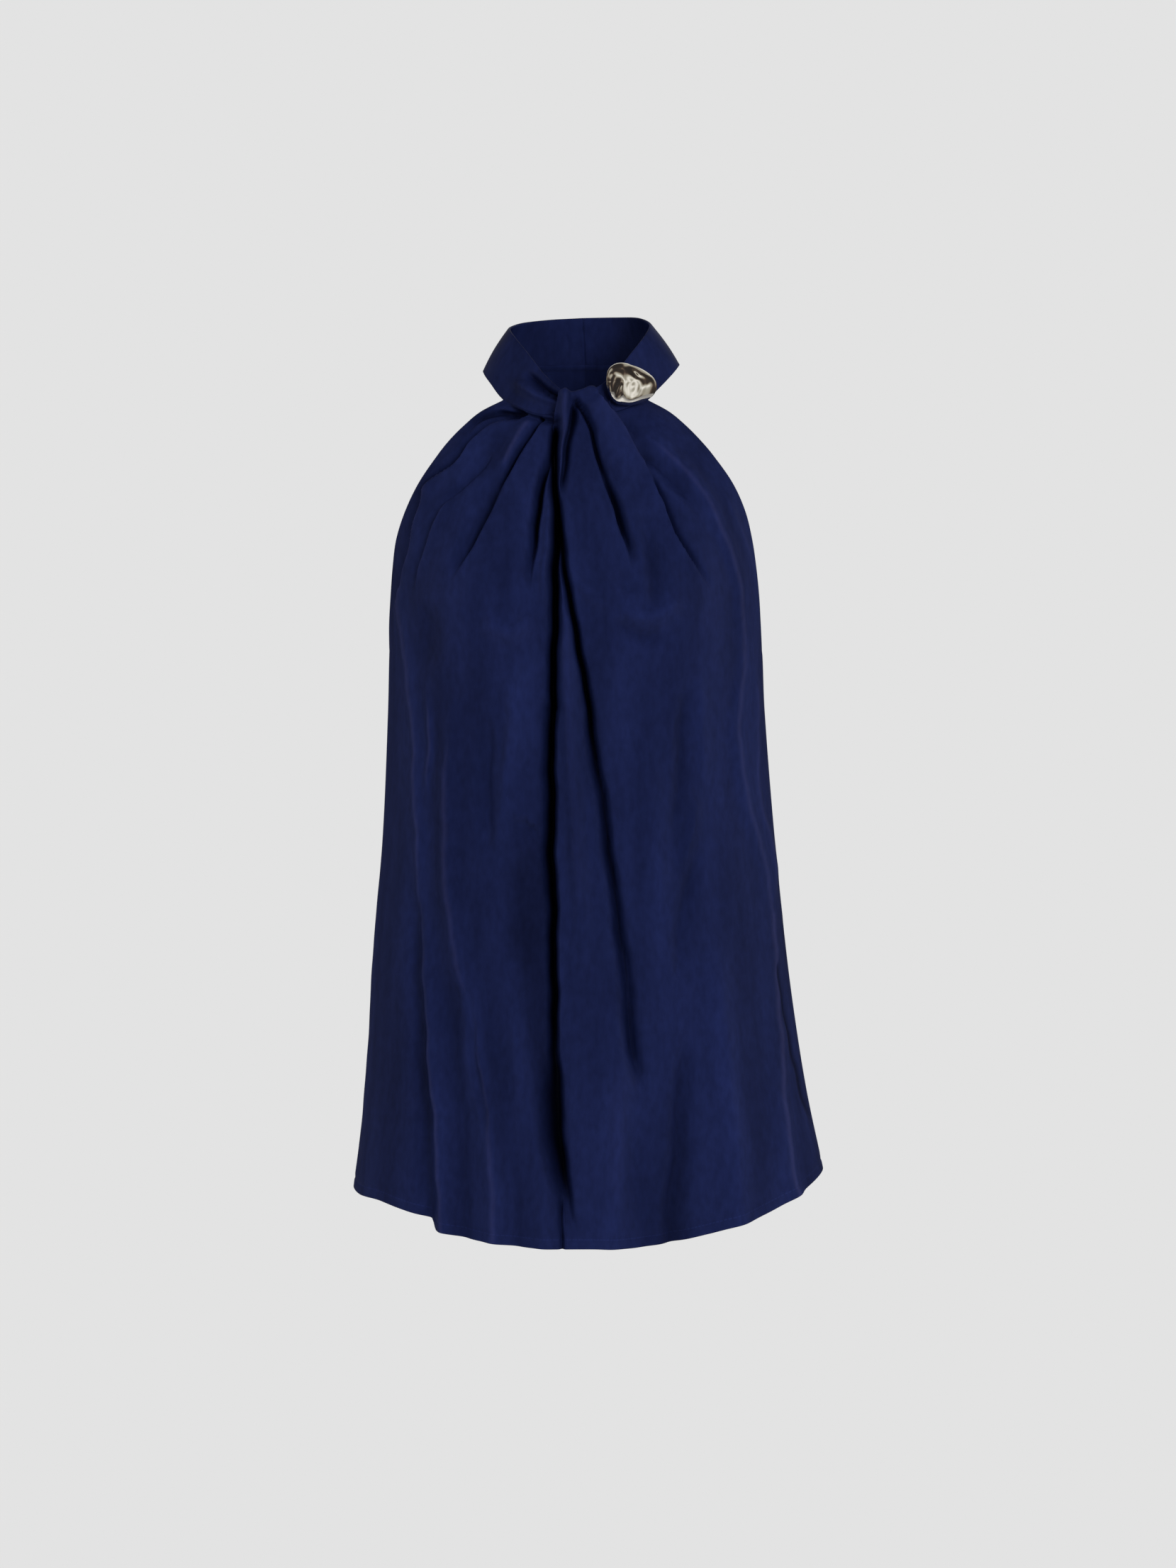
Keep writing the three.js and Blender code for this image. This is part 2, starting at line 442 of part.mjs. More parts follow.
// Closed wall on a grid of points: the grid is its outside, and the inside lies one thickness in.
// The column named middle lies on a centre seam, where the wall stands square to the seam.
function wall(grid, thickness, middle = -1) {
  const rows = grid.length;
  const columns = grid[0].length;
  const inner = grid.map((line, j) => line.map((point, i) => {
    const across = line[Math.min(columns - 1, i + 1)].clone().sub(line[Math.max(0, i - 1)]);
    const along = grid[Math.min(rows - 1, j + 1)][i].clone().sub(grid[Math.max(0, j - 1)][i]);
    const normal = across.cross(along);
    if (i === middle) normal.x = 0;
    normal.normalize();
    return point.clone().addScaledVector(normal, -thickness);
  }));
  const positions = [];
  for (const layer of [grid, inner]) {
    for (const line of layer) for (const p of line) positions.push(p.x, p.y, p.z);
  }
  const id = (layer, j, i) => layer * rows * columns + j * columns + i;
  const faces = [];
  const quad = (a, b, c, d) => faces.push(a, b, c, a, c, d);
  for (let j = 0; j < rows - 1; j += 1) {
    for (let i = 0; i < columns - 1; i += 1) {
      quad(id(0, j, i), id(0, j, i + 1), id(0, j + 1, i + 1), id(0, j + 1, i));
      quad(id(1, j, i), id(1, j + 1, i), id(1, j + 1, i + 1), id(1, j, i + 1));
    }
  }
  for (let j = 0; j < rows - 1; j += 1) {
    quad(id(0, j, 0), id(0, j + 1, 0), id(1, j + 1, 0), id(1, j, 0));
    quad(id(0, j + 1, columns - 1), id(0, j, columns - 1), id(1, j, columns - 1), id(1, j + 1, columns - 1));
  }
  for (let i = 0; i < columns - 1; i += 1) {
    quad(id(0, 0, i + 1), id(0, 0, i), id(1, 0, i), id(1, 0, i + 1));
    quad(id(0, rows - 1, i), id(0, rows - 1, i + 1), id(1, rows - 1, i + 1), id(1, rows - 1, i));
  }
  const geometry = new THREE.BufferGeometry();
  geometry.setAttribute("position", new THREE.Float32BufferAttribute(positions, 3));
  geometry.setIndex(faces);
  geometry.computeVertexNormals();
  return geometry;
}

const cloth = (name, color) => new THREE.MeshStandardMaterial({ name, color, roughness: 0.55, metalness: 0 });

function piece(name, geometry, material) {
  const mesh = new THREE.Mesh(geometry, material);
  mesh.name = name;
  return mesh;
}

// Rows of points, left to right as seen from outside, so that the wall's normals point out
function gridOf(rows, columns, reverse, pointAt) {
  const grid = [];
  for (let j = 0; j <= rows; j += 1) {
    const line = [];
    for (let i = 0; i <= columns; i += 1) line.push(pointAt(i / columns, j / rows));
    grid.push(reverse ? line : line.reverse());
  }
  return grid;
}

function columnShare(half, u, v) {
  const guide = GUIDE[half];
  const a = track(guide.rows, "v", "a", v);
  if (u <= guide.at) return a * (u / guide.at) ** COLUMN_CROWDING;
  return lerp(a, 1, (u - guide.at) / (1 - guide.at));
}

function frontPiece(half) {
  const isLeft = half === "left";
  const grid = gridOf(FRONT_ROWS, FRONT_COLUMNS, isLeft, (u, v) => {
    const point = frontPoint(half, columnShare(half, u, v) * seamShare(half, v), v);
    if (u === 0) point.x += (isLeft ? -0.5 : 0.5) * SEAM;
    return point;
  });
  return wall(grid, CLOTH);
}

function backPiece(half) {
  const isLeft = half === "left";
  const grid = gridOf(BACK_ROWS, BACK_COLUMNS, !isLeft, (u, v) => {
    const reach = 2 - seamShare(half, v) - 0.004;
    return backPoint(half, u * reach, v);
  });
  return wall(grid, CLOTH, isLeft ? BACK_COLUMNS : 0);
}

function collarPiece(half) {
  const isLeft = half === "left";
  const stations = isLeft ? COLLAR_LEFT : COLLAR_RIGHT;
  const grid = gridOf(COLLAR_ROWS, COLLAR_COLUMNS, !isLeft, (u, v) => collarPoint(stations, u, v));
  return wall(grid, BAND, isLeft ? COLLAR_COLUMNS : 0);
}

function knobPiece() {
  const ball = new THREE.IcosahedronGeometry(1, 5);
  ball.deleteAttribute("normal");
  ball.deleteAttribute("uv");
  const geometry = mergeVertices(ball, 1e-4);
  const places = geometry.attributes.position;
  const p = new THREE.Vector3();
  for (let i = 0; i < places.count; i += 1) {
    p.fromBufferAttribute(places, i).normalize();
    let radius = 1;
    for (const lump of LUMPS) {
      const d = Math.hypot(p.x - lump.x, p.y - lump.y, p.z - lump.z);
      radius += lump.lift * Math.exp(-((d / lump.reach) ** 2));
    }
    p.multiplyScalar(radius);
    p.y = Math.min(p.y, KNOB_BACK + 0.15 * (p.y - KNOB_BACK));
    places.setXYZ(i, (p.x * KNOB.wide) / 2, (p.y * KNOB.deep) / 2, (p.z * KNOB.high) / 2);
  }
  const turn = new THREE.Euler(
    THREE.MathUtils.degToRad(-KNOB.tip), THREE.MathUtils.degToRad(KNOB.lean), THREE.MathUtils.degToRad(KNOB.turn), "ZXY",
  );
  geometry.applyMatrix4(new THREE.Matrix4().makeRotationFromEuler(turn));
  geometry.translate(KNOB.x, KNOB.y, KNOB.z);
  geometry.computeVertexNormals();
  return geometry;
}

const group = new THREE.Group();
group.name = "halter_neck_top";
group.add(
  piece("front_left", frontPiece("left"), cloth("navy_front_left", 0x1b2147)),
  piece("front_right", frontPiece("right"), cloth("navy_front_right", 0x1b2147)),
  piece("back_left", backPiece("left"), cloth("navy_back_left", 0x1b2147)),
  piece("back_right", backPiece("right"), cloth("navy_back_right", 0x1b2147)),
  piece("collar_left", collarPiece("left"), cloth("navy_collar_left", 0x1b2147)),
  piece("collar_right", collarPiece("right"), cloth("navy_collar_right", 0x1b2147)),
  piece("knob", knobPiece(), new THREE.MeshStandardMaterial({ name: "metal", color: 0xc9c4bc, roughness: 0.15, metalness: 1 })),
);

export default group;
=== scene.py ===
"""Halter neck top in navy satin-backed cloth with a polished metal ornament, in the shape it has on a body,
with nobody in it.

Tables hold millimetres in the shared frame: +Z up, the front towards -Y, origin in the middle of the neck.
"""

import logging
import math
from collections.abc import Callable, Sequence
from dataclasses import dataclass
from enum import Enum

import bmesh
import bpy
import numpy as np
from mathutils import Matrix, Vector

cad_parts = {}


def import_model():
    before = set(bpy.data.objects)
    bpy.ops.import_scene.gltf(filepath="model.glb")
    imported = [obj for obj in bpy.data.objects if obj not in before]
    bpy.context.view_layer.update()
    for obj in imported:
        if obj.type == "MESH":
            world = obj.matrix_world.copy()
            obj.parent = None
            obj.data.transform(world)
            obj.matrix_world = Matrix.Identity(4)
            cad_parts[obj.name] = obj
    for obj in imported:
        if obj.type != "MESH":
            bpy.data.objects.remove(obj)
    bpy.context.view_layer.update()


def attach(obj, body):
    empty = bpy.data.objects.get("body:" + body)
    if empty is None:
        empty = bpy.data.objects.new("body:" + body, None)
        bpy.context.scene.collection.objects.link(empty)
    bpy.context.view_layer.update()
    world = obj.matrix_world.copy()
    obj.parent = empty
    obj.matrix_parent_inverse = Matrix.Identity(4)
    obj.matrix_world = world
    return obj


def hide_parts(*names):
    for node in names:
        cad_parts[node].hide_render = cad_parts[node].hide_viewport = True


Array = np.ndarray
Number = Array | float
Placed = tuple[Array, dict[str, Array]]
Pair = tuple[float, float]
Triple = tuple[float, float, float]
Mesh = bmesh.types.BMesh
Piece = bpy.types.Object
Material = bpy.types.Material
Tree = bpy.types.NodeTree
Socket = bpy.types.NodeSocket

LOG = logging.getLogger("halter_top")
MM = 0.001
SEED = 41
# Shares of the way from the neck down to the hem: underarm, swing of the right side seam, sewn tops
UNDERARM = 1 / 3
SEAM_SWINGS = (0.6, 0.9)
SEWN_LEFT = 0.008
SEWN_RIGHT = 0.02
SEWN_BACK = 0.06
# Shares across: how far the right side seam swings, and where the free flap ends
SEAM_SWING = 0.075
FLAP_END = 0.56
# Places, gaps and depths in mm
SIDE_SEAM_Y = 8.0
MID_BACK = 6.0
NECK_END = 53.0
SEAM = 0.05
HEM_DEPTH = 7.0
HEM_OFFSET = 1000.0
# How light painted highlights make crests and painted light makes swells, and how dark painted shade makes
# creases, with heights and depths in mm
CREST_HIGHLIGHT = 0.55
SWELL_LIGHT = 0.17
SWELL_HEIGHT = 3.5
CREASE_SHADE = 0.72
CREASE_FROM = 3.0
CREASE_RANGE = 14.0
# Slight waver of all fold lines: size in pixels, turns for each pixel down and across, start
WAVER = ((1.2, 0.047, 0.01, 0.0), (0.6, 0.11, 0.0, 1.3))
# Waves of the soft swell: how many, their turns for each mm across and up, and the back's shift in mm
WAVES = 9
WAVE_ACROSS = (0.03, 0.11)
WAVE_UP = (-0.025, 0.025)
BACK_WAVES_AT = 300.0
# Stretch and detail of the cloth's noises, their middle range and the shades it gives
SLUBS = ((900.0, 900.0, 90.0), 1.0)
MOTTLE = ((34.0, 34.0, 5.0), 2.0)
BRUSHED = ((240.0, 240.0, 110.0), 3.0)
NOISE_RANGE = (0.3, 0.7)
MOTTLE_SHADE = (0.76, 1.22)
BRUSHED_SHADE = (0.87, 1.13)
# Half width of the hem's stitches in mm, clear and faded, stitches to a mm, and the gap's share of each
STITCH_EDGE = (0.2, 0.55)
STITCH_PITCH = 0.3
STITCH_GAP = 0.3
# Gap in metres that is welded where a strip closes
WELD = 0.00001


class Half(Enum):
    """Which side of the photo a piece of cloth is on."""

    LEFT = "left"
    RIGHT = "right"


def smooth(value: Number) -> Array:
    """Ease from 0 to 1 while value goes from 0 to 1."""
    held = np.clip(value, 0.0, 1.0)
    return held * held * (3 - 2 * held)


def ramp(value: Number, start: float, end: float) -> Array:
    """Ease from 0 to 1 while value goes from start to end."""
    return smooth((value - start) / (end - start))


def bell(value: Number) -> Array:
    """Fall off evenly from 1 where value is 0."""
    return np.exp(-(value**2))


def lerp(low: Number, high: Number, share: Number) -> Array:
    """Mix two values by a share."""
    return low + (high - low) * share


def unit(vectors: Array) -> Array:
    """Bring vectors to the length 1."""
    return vectors / np.linalg.norm(vectors, axis=-1, keepdims=True)


class Curve:
    """Smooth curves through the rows of a short table, read by its first column."""

    def __init__(self, names: str, rows: Sequence[Sequence[float]]) -> None:
        """Keep the table's columns by name.

        Args:
            names: Names of the columns, the key first.
            rows: Rows sorted along the key, up or down.
        """
        table = np.array(rows, dtype=float)
        self.way = 1.0 if table[-1, 0] > table[0, 0] else -1.0
        self.keys = table[:, 0] * self.way
        self.values = dict(zip(names.split()[1:], table[:, 1:].T))

    def column(self, name: str, at: Number) -> Array:
        """Read one column.

        Args:
            name: The column's name.
            at: Values of the key.

        Returns:
            The column's smooth value at each key.
        """
        keys, values = self.keys, self.values[name]
        last = len(keys) - 1
        place = np.clip(np.asarray(at, dtype=float) * self.way, keys[0], keys[-1])
        i = np.clip(np.searchsorted(keys, place, side="right") - 1, 0, last - 1)
        low, high = np.maximum(np.arange(last + 1) - 1, 0), np.minimum(np.arange(last + 1) + 1, last)
        slopes = (values[high] - values[low]) / (keys[high] - keys[low])
        span = keys[i + 1] - keys[i]
        t = (place - keys[i]) / span
        bend = t * (t - 1) * span * ((t - 1) * slopes[i] + t * slopes[i + 1])
        return lerp(values[i], values[i + 1], smooth(t)) + bend

    def points(self, at: Number, before: str = "") -> Array:
        """Read the x, y and z columns as points, where their names may have a letter before."""
        return np.stack([self.column(before + name, at) for name in "xyz"], axis=-1)

    def spine(self, z: Number) -> Array:
        """Read the points at heights."""
        return np.stack([self.column("x", z), self.column("y", z), z], axis=-1)


@dataclass(frozen=True)
class Lens:
    """The photo's camera: where it stands, and where a point of the garment falls in the picture."""

    x: float = 8.1
    distance: float = 3000.0
    z: float = -312.5
    pixel: float = 0.56
    middle: float = 829.5
    level: float = 548.0

    def seen(self, points: Array) -> tuple[Array, Array]:
        """Place points in the picture.

        Args:
            points: Points in mm.

        Returns:
            Pixels across and down.
        """
        near = (self.distance + points[:, 1]) / self.distance
        across = self.middle + (points[:, 0] - self.x) / (self.pixel * near)
        down = self.level - ((points[:, 2] - self.z) / near + self.z) / self.pixel
        return across, down


PHOTO = Lens()


@dataclass(frozen=True)
class Fold:
    """A fold line as the photo shows it.

    path is in the photo's pixels, across and down. left and right are the heights in mm beside the line and
    reach_left and reach_right how many pixels they reach; the sides are the picture's for a path that runs
    down. rise and fall are the shares of the path over which it grows and dies away, and crest is the
    painted highlight along its edge, or painted shade where it is less than 0.
    """

    name: str
    path: str
    left: float
    right: float
    reach_left: float
    reach_right: float
    rise: float = 0.3
    fall: float = 0.3
    crest: float = 0.0

    STEPS = 22
    EDGE = 1.3
    # Half width in pixels of the painted highlight or painted shade along the edge
    SHINE = 3.0
    FAR = 3

    def line(self) -> Array:
        """Smooth, evenly spaced points along the path."""
        corners = np.array([spot.split(",") for spot in self.path.split()], dtype=float)
        way = np.concatenate([[0.0], np.cumsum(np.hypot(*np.diff(corners, axis=0).T))])
        curve = Curve("s x y", np.column_stack([way, corners]))
        at = np.linspace(0, way[-1], self.STEPS + 1)
        return np.stack([curve.column("x", at), curve.column("y", at)], axis=-1)

    def height(self, x: Array, y: Array) -> tuple[Array, Array]:
        """Work out how far the fold lifts the cloth.

        Args:
            x: Pixels across.
            y: Pixels down.

        Returns:
            The lift at each place in mm, and its painted highlight, which is painted shade where less than 0.
        """
        line = self.line()
        reach = self.FAR * max(self.reach_left, self.reach_right)
        low, high = line.min(axis=0) - reach, line.max(axis=0) + reach
        near = np.flatnonzero((x > low[0]) & (x < high[0]) & (y > low[1]) & (y < high[1]))
        lift, shine = np.zeros(x.shape), np.zeros(x.shape)
        px, py = x[near], y[near]
        best = np.full(px.shape, np.inf)
        share, side = np.zeros(px.shape), np.zeros(px.shape)
        for i in range(self.STEPS):
            start, along = line[i], line[i + 1] - line[i]
            t = np.clip(((px - start[0]) * along[0] + (py - start[1]) * along[1]) / (along @ along), 0, 1)
            dx, dy = px - start[0] - along[0] * t, py - start[1] - along[1] * t
            distance = np.hypot(dx, dy)
            nearer = distance < best
            best = np.where(nearer, distance, best)
            share = np.where(nearer, (i + t) / self.STEPS, share)
            side = np.where(nearer, dx * along[1] - dy * along[0], side)
        grown = smooth(share / self.rise) if self.rise > 0 else 1.0
        dying = smooth((1 - share) / self.fall) if self.fall > 0 else 1.0
        over = smooth((best * np.sign(side) / self.EDGE + 1) / 2)
        shown = grown * dying
        flanks = self.left * bell(best / self.reach_left), self.right * bell(best / self.reach_right)
        lift[near] = shown * lerp(*flanks, over)
        # Painted highlight along the fold's edge, painted shade where crest is below 0
        shine[near] = shown * self.crest * bell(best / self.SHINE)
        return lift, shine


def relief(folds: Sequence[Fold], points: Array) -> tuple[Array, Array]:
    """Add up several folds.

    Args:
        folds: The folds; one with no rise carries on from the one before it where that has no fall.
        points: Places on the bare form, in mm.

    Returns:
        The lift at each place in mm, and how light the cloth is painted there: painted highlights on crests,
        painted light and shade that follow the folds' height, and painted shade in deep creases.
    """
    x, y = PHOTO.seen(points)
    x = x + sum(size * np.sin(down * y + across * x + start) for size, down, across, start in WAVER)
    total, shine, run = np.zeros_like(x), np.zeros_like(x), np.zeros_like(x)
    before = 1.0
    for fold in folds:
        lift, glint = fold.height(x, y)
        LOG.debug("fold %s moves the cloth up to %.1f mm", fold.name, np.abs(lift).max())
        if fold.rise == 0 and before == 0:
            run = np.where(np.abs(lift) > np.abs(run), lift, run)
        else:
            total += run
            run = lift
        shine = np.where(np.abs(glint) > np.abs(shine), glint, shine)
        before = fold.fall
    total += run
    # Painted light and shade: raised cloth lighter and hollows darker, deep creases darkened by painted
    # shade, crests lit by painted highlights
    swell = SWELL_LIGHT * np.tanh(total / SWELL_HEIGHT)
    crease = CREASE_SHADE * np.clip((-total - CREASE_FROM) / CREASE_RANGE, 0, 1)
    return total, 1 + CREST_HIGHLIGHT * shine + swell - crease


CENTRE_FRONT = Curve(
    "z x y",
    [
        (-9, -15, -74), (-31, -18.5, -76), (-72, -17.2, -92), (-130, -17, -110), (-165, -17.6, -116.5),
        (-201, -18.5, -118), (-277, -19, -114.5), (-350, -18, -114), (-431, -16.4, -118), (-500, -14.6, -122),
        (-572, -12.5, -127), (-618, -10, -130), (-664, -8.2, -133),
    ],
)
CENTRE_BACK = Curve(
    "z x y",
    [
        (20, 6, 57), (-30, 5.5, 69), (-80, 5, 82), (-130, 5, 90), (-180, 4, 93),
        (-250, 4, 88), (-330, 4, 85), (-420, 4, 91), (-520, 4, 103), (-650, 4, 118),
    ],
)
FALL = {
    Half.LEFT: Curve("v z", [(0, -29.6), (0.06, -60), (UNDERARM, -222), (1, -664)]),
    Half.RIGHT: Curve("v z", [(0, -9), (0.06, -60), (UNDERARM, -222), (1, -664)]),
}
BACK_FALL = Curve("v z", [(0, 19.4), (UNDERARM, -210), (1, -650)])
SIDE = {
    Half.LEFT: Curve(
        "v x y z",
        [
            (0, -58.6, -35, -13), (0.027, -76, -38, -22.3), (0.051, -89.2, -41, -33.7),
            (0.072, -100.1, -42, -44.9), (0.091, -108.8, -44, -56.1), (0.127, -123.6, -46, -78.2),
            (0.16, -134.2, -45, -100.1), (0.19, -141.3, -42, -121.8), (0.22, -144.2, -40, -143.5),
            (0.251, -146.1, -34, -165.2), (0.284, -147.8, -24, -187), (0.308, -148.5, -9, -204),
            (UNDERARM, -149, 8, -212), (0.4, -150, 8, -256), (0.55, -153.8, 8, -350), (0.7, -161, 8, -444.6),
            (0.8, -164, 8, -507), (0.9, -168.8, 8, -570), (1, -177, 8, -633),
        ],
    ),
    Half.RIGHT: Curve(
        "v x y z",
        [
            (0, 55.4, -35, -13), (0.027, 71.8, -38, -22.3), (0.051, 85, -41, -33.7),
            (0.072, 95.9, -42, -44.9), (0.091, 105.2, -44, -56.1), (0.127, 120.6, -46, -78.2),
            (0.16, 130.5, -45, -100.1), (0.19, 136, -42, -121.8), (0.22, 139.3, -40, -143.5),
            (0.251, 141.8, -34, -165.2), (0.284, 143.5, -24, -187), (0.308, 145, -9, -204),
            (UNDERARM, 146, 8, -212), (0.4, 147.7, 8, -254), (0.55, 154.8, 8, -345), (0.7, 163.8, 8, -436),
            (0.8, 171.5, 8, -497), (0.9, 181, 8, -557), (1, 193.8, 8, -618),
        ],
    ),
}
BACK_ARMHOLE = Curve(
    "v x y z",
    [
        (0, -53, 38.5, 16.4), (0.02, -54, 43, 3), (0.05, -62, 48, -18), (0.075, -79, 51, -37),
        (0.1, -93, 53, -55), (0.16, -116, 54, -98), (0.22, -132, 49, -143), (0.27, -141, 37, -178),
        (0.304, -146, 23, -201), (UNDERARM, -148, 8, -212),
    ],
)
NECK = {
    Half.LEFT: Curve(
        "a x y z",
        [
            (0, -18.7, -70.5, -29.6), (0.35, -30.5, -64, -27.2), (0.68, -43.9, -55, -22),
            (1, -58.6, -35, -13),
        ],
    ),
    Half.RIGHT: Curve(
        "a x y z",
        [
            (0, -15, -74, -9.5), (0.1, -10, -76.5, -7.5), (0.2, -5, -73, -9.6), (0.3, 2, -73.5, -8.2),
            (0.42, 13.3, -72.5, -5.5), (0.54, 24.8, -68, -18.5), (0.62, 29, -62, -25.4), (0.8, 45, -52, -19),
            (1, 55.4, -35, -13),
        ],
    ),
}
NECK_BACK = Curve("a x y z", [(0, 6, 57, 19.5), (0.5, -30, 52, 18.5), (1, -53, 38.5, 16.4)])
# Guide column of each front half: share of the columns up to it, and its share across by rows
GUIDE_AT = {Half.LEFT: 10 / 25, Half.RIGHT: 7 / 25}
GUIDE = {
    Half.LEFT: Curve(
        "v a", [(0, 0.33), (0.07, 0.26), (0.125, 0.3), (0.18, 0.35), (0.23, 0.4), (0.4, 0.42), (1, 0.42)]
    ),
    Half.RIGHT: Curve(
        "v a",
        [
            (0, 0.2), (0.03, 0.11), (0.06, 0.06), (0.12, 0.032), (0.19, 0.035), (0.265, 0.072),
            (0.33, 0.103), (0.4, 0.128), (0.5, 0.148), (0.57, 0.169), (0.66, 0.191), (0.77, 0.206),
            (0.82, 0.218), (1, 0.215),
        ],
    ),
}
COLUMN_CROWDING = 1.2
COLLAR = {
    Half.LEFT: Curve(
        "s tx ty tz bx by bz",
        [
            (0, 3.8, 52, 62, 6, 57, 20), (1 / 9, -24, 48, 60, -30, 52, 19), (2 / 9, -44, 32, 56, -57, 36, 17),
            (3 / 9, -53, 10, 50.5, -73.5, 14, 15), (4 / 9, -54, -6, 46, -74.5, -4, 11),
            (5 / 9, -49.5, -22, 38, -68.5, -22, 1), (6 / 9, -40, -36, 25, -58.6, -35, -12.3),
            (7 / 9, -26, -52, 6, -43.9, -55, -21.2), (8 / 9, -14, -62, -6, -30.5, -64, -26.5),
            (1, -8, -65, -10, -12, -68.5, -28.3),
        ],
    ),
    Half.RIGHT: Curve(
        "s tx ty tz bx by bz",
        [
            (0, 4.3, 52, 62, 6.5, 57, 20), (1 / 9, 31, 48, 62, 37, 52, 19), (2 / 9, 48, 32, 60, 61.5, 36, 19),
            (3 / 9, 56.5, 10, 54, 78.5, 14, 19), (4 / 9, 57, -6, 48, 80, -4, 17),
            (5 / 9, 52, -22, 38, 72, -22, 6), (6 / 9, 43, -36, 25, 55.4, -35, -11.5),
            (7 / 9, 31, -50, 9, 45, -52, -18.2), (8 / 9, 18, -59, -3, 29, -62, -24.5),
            (1, 8, -62, -8, 14, -64.5, -26),
        ],
    ),
}
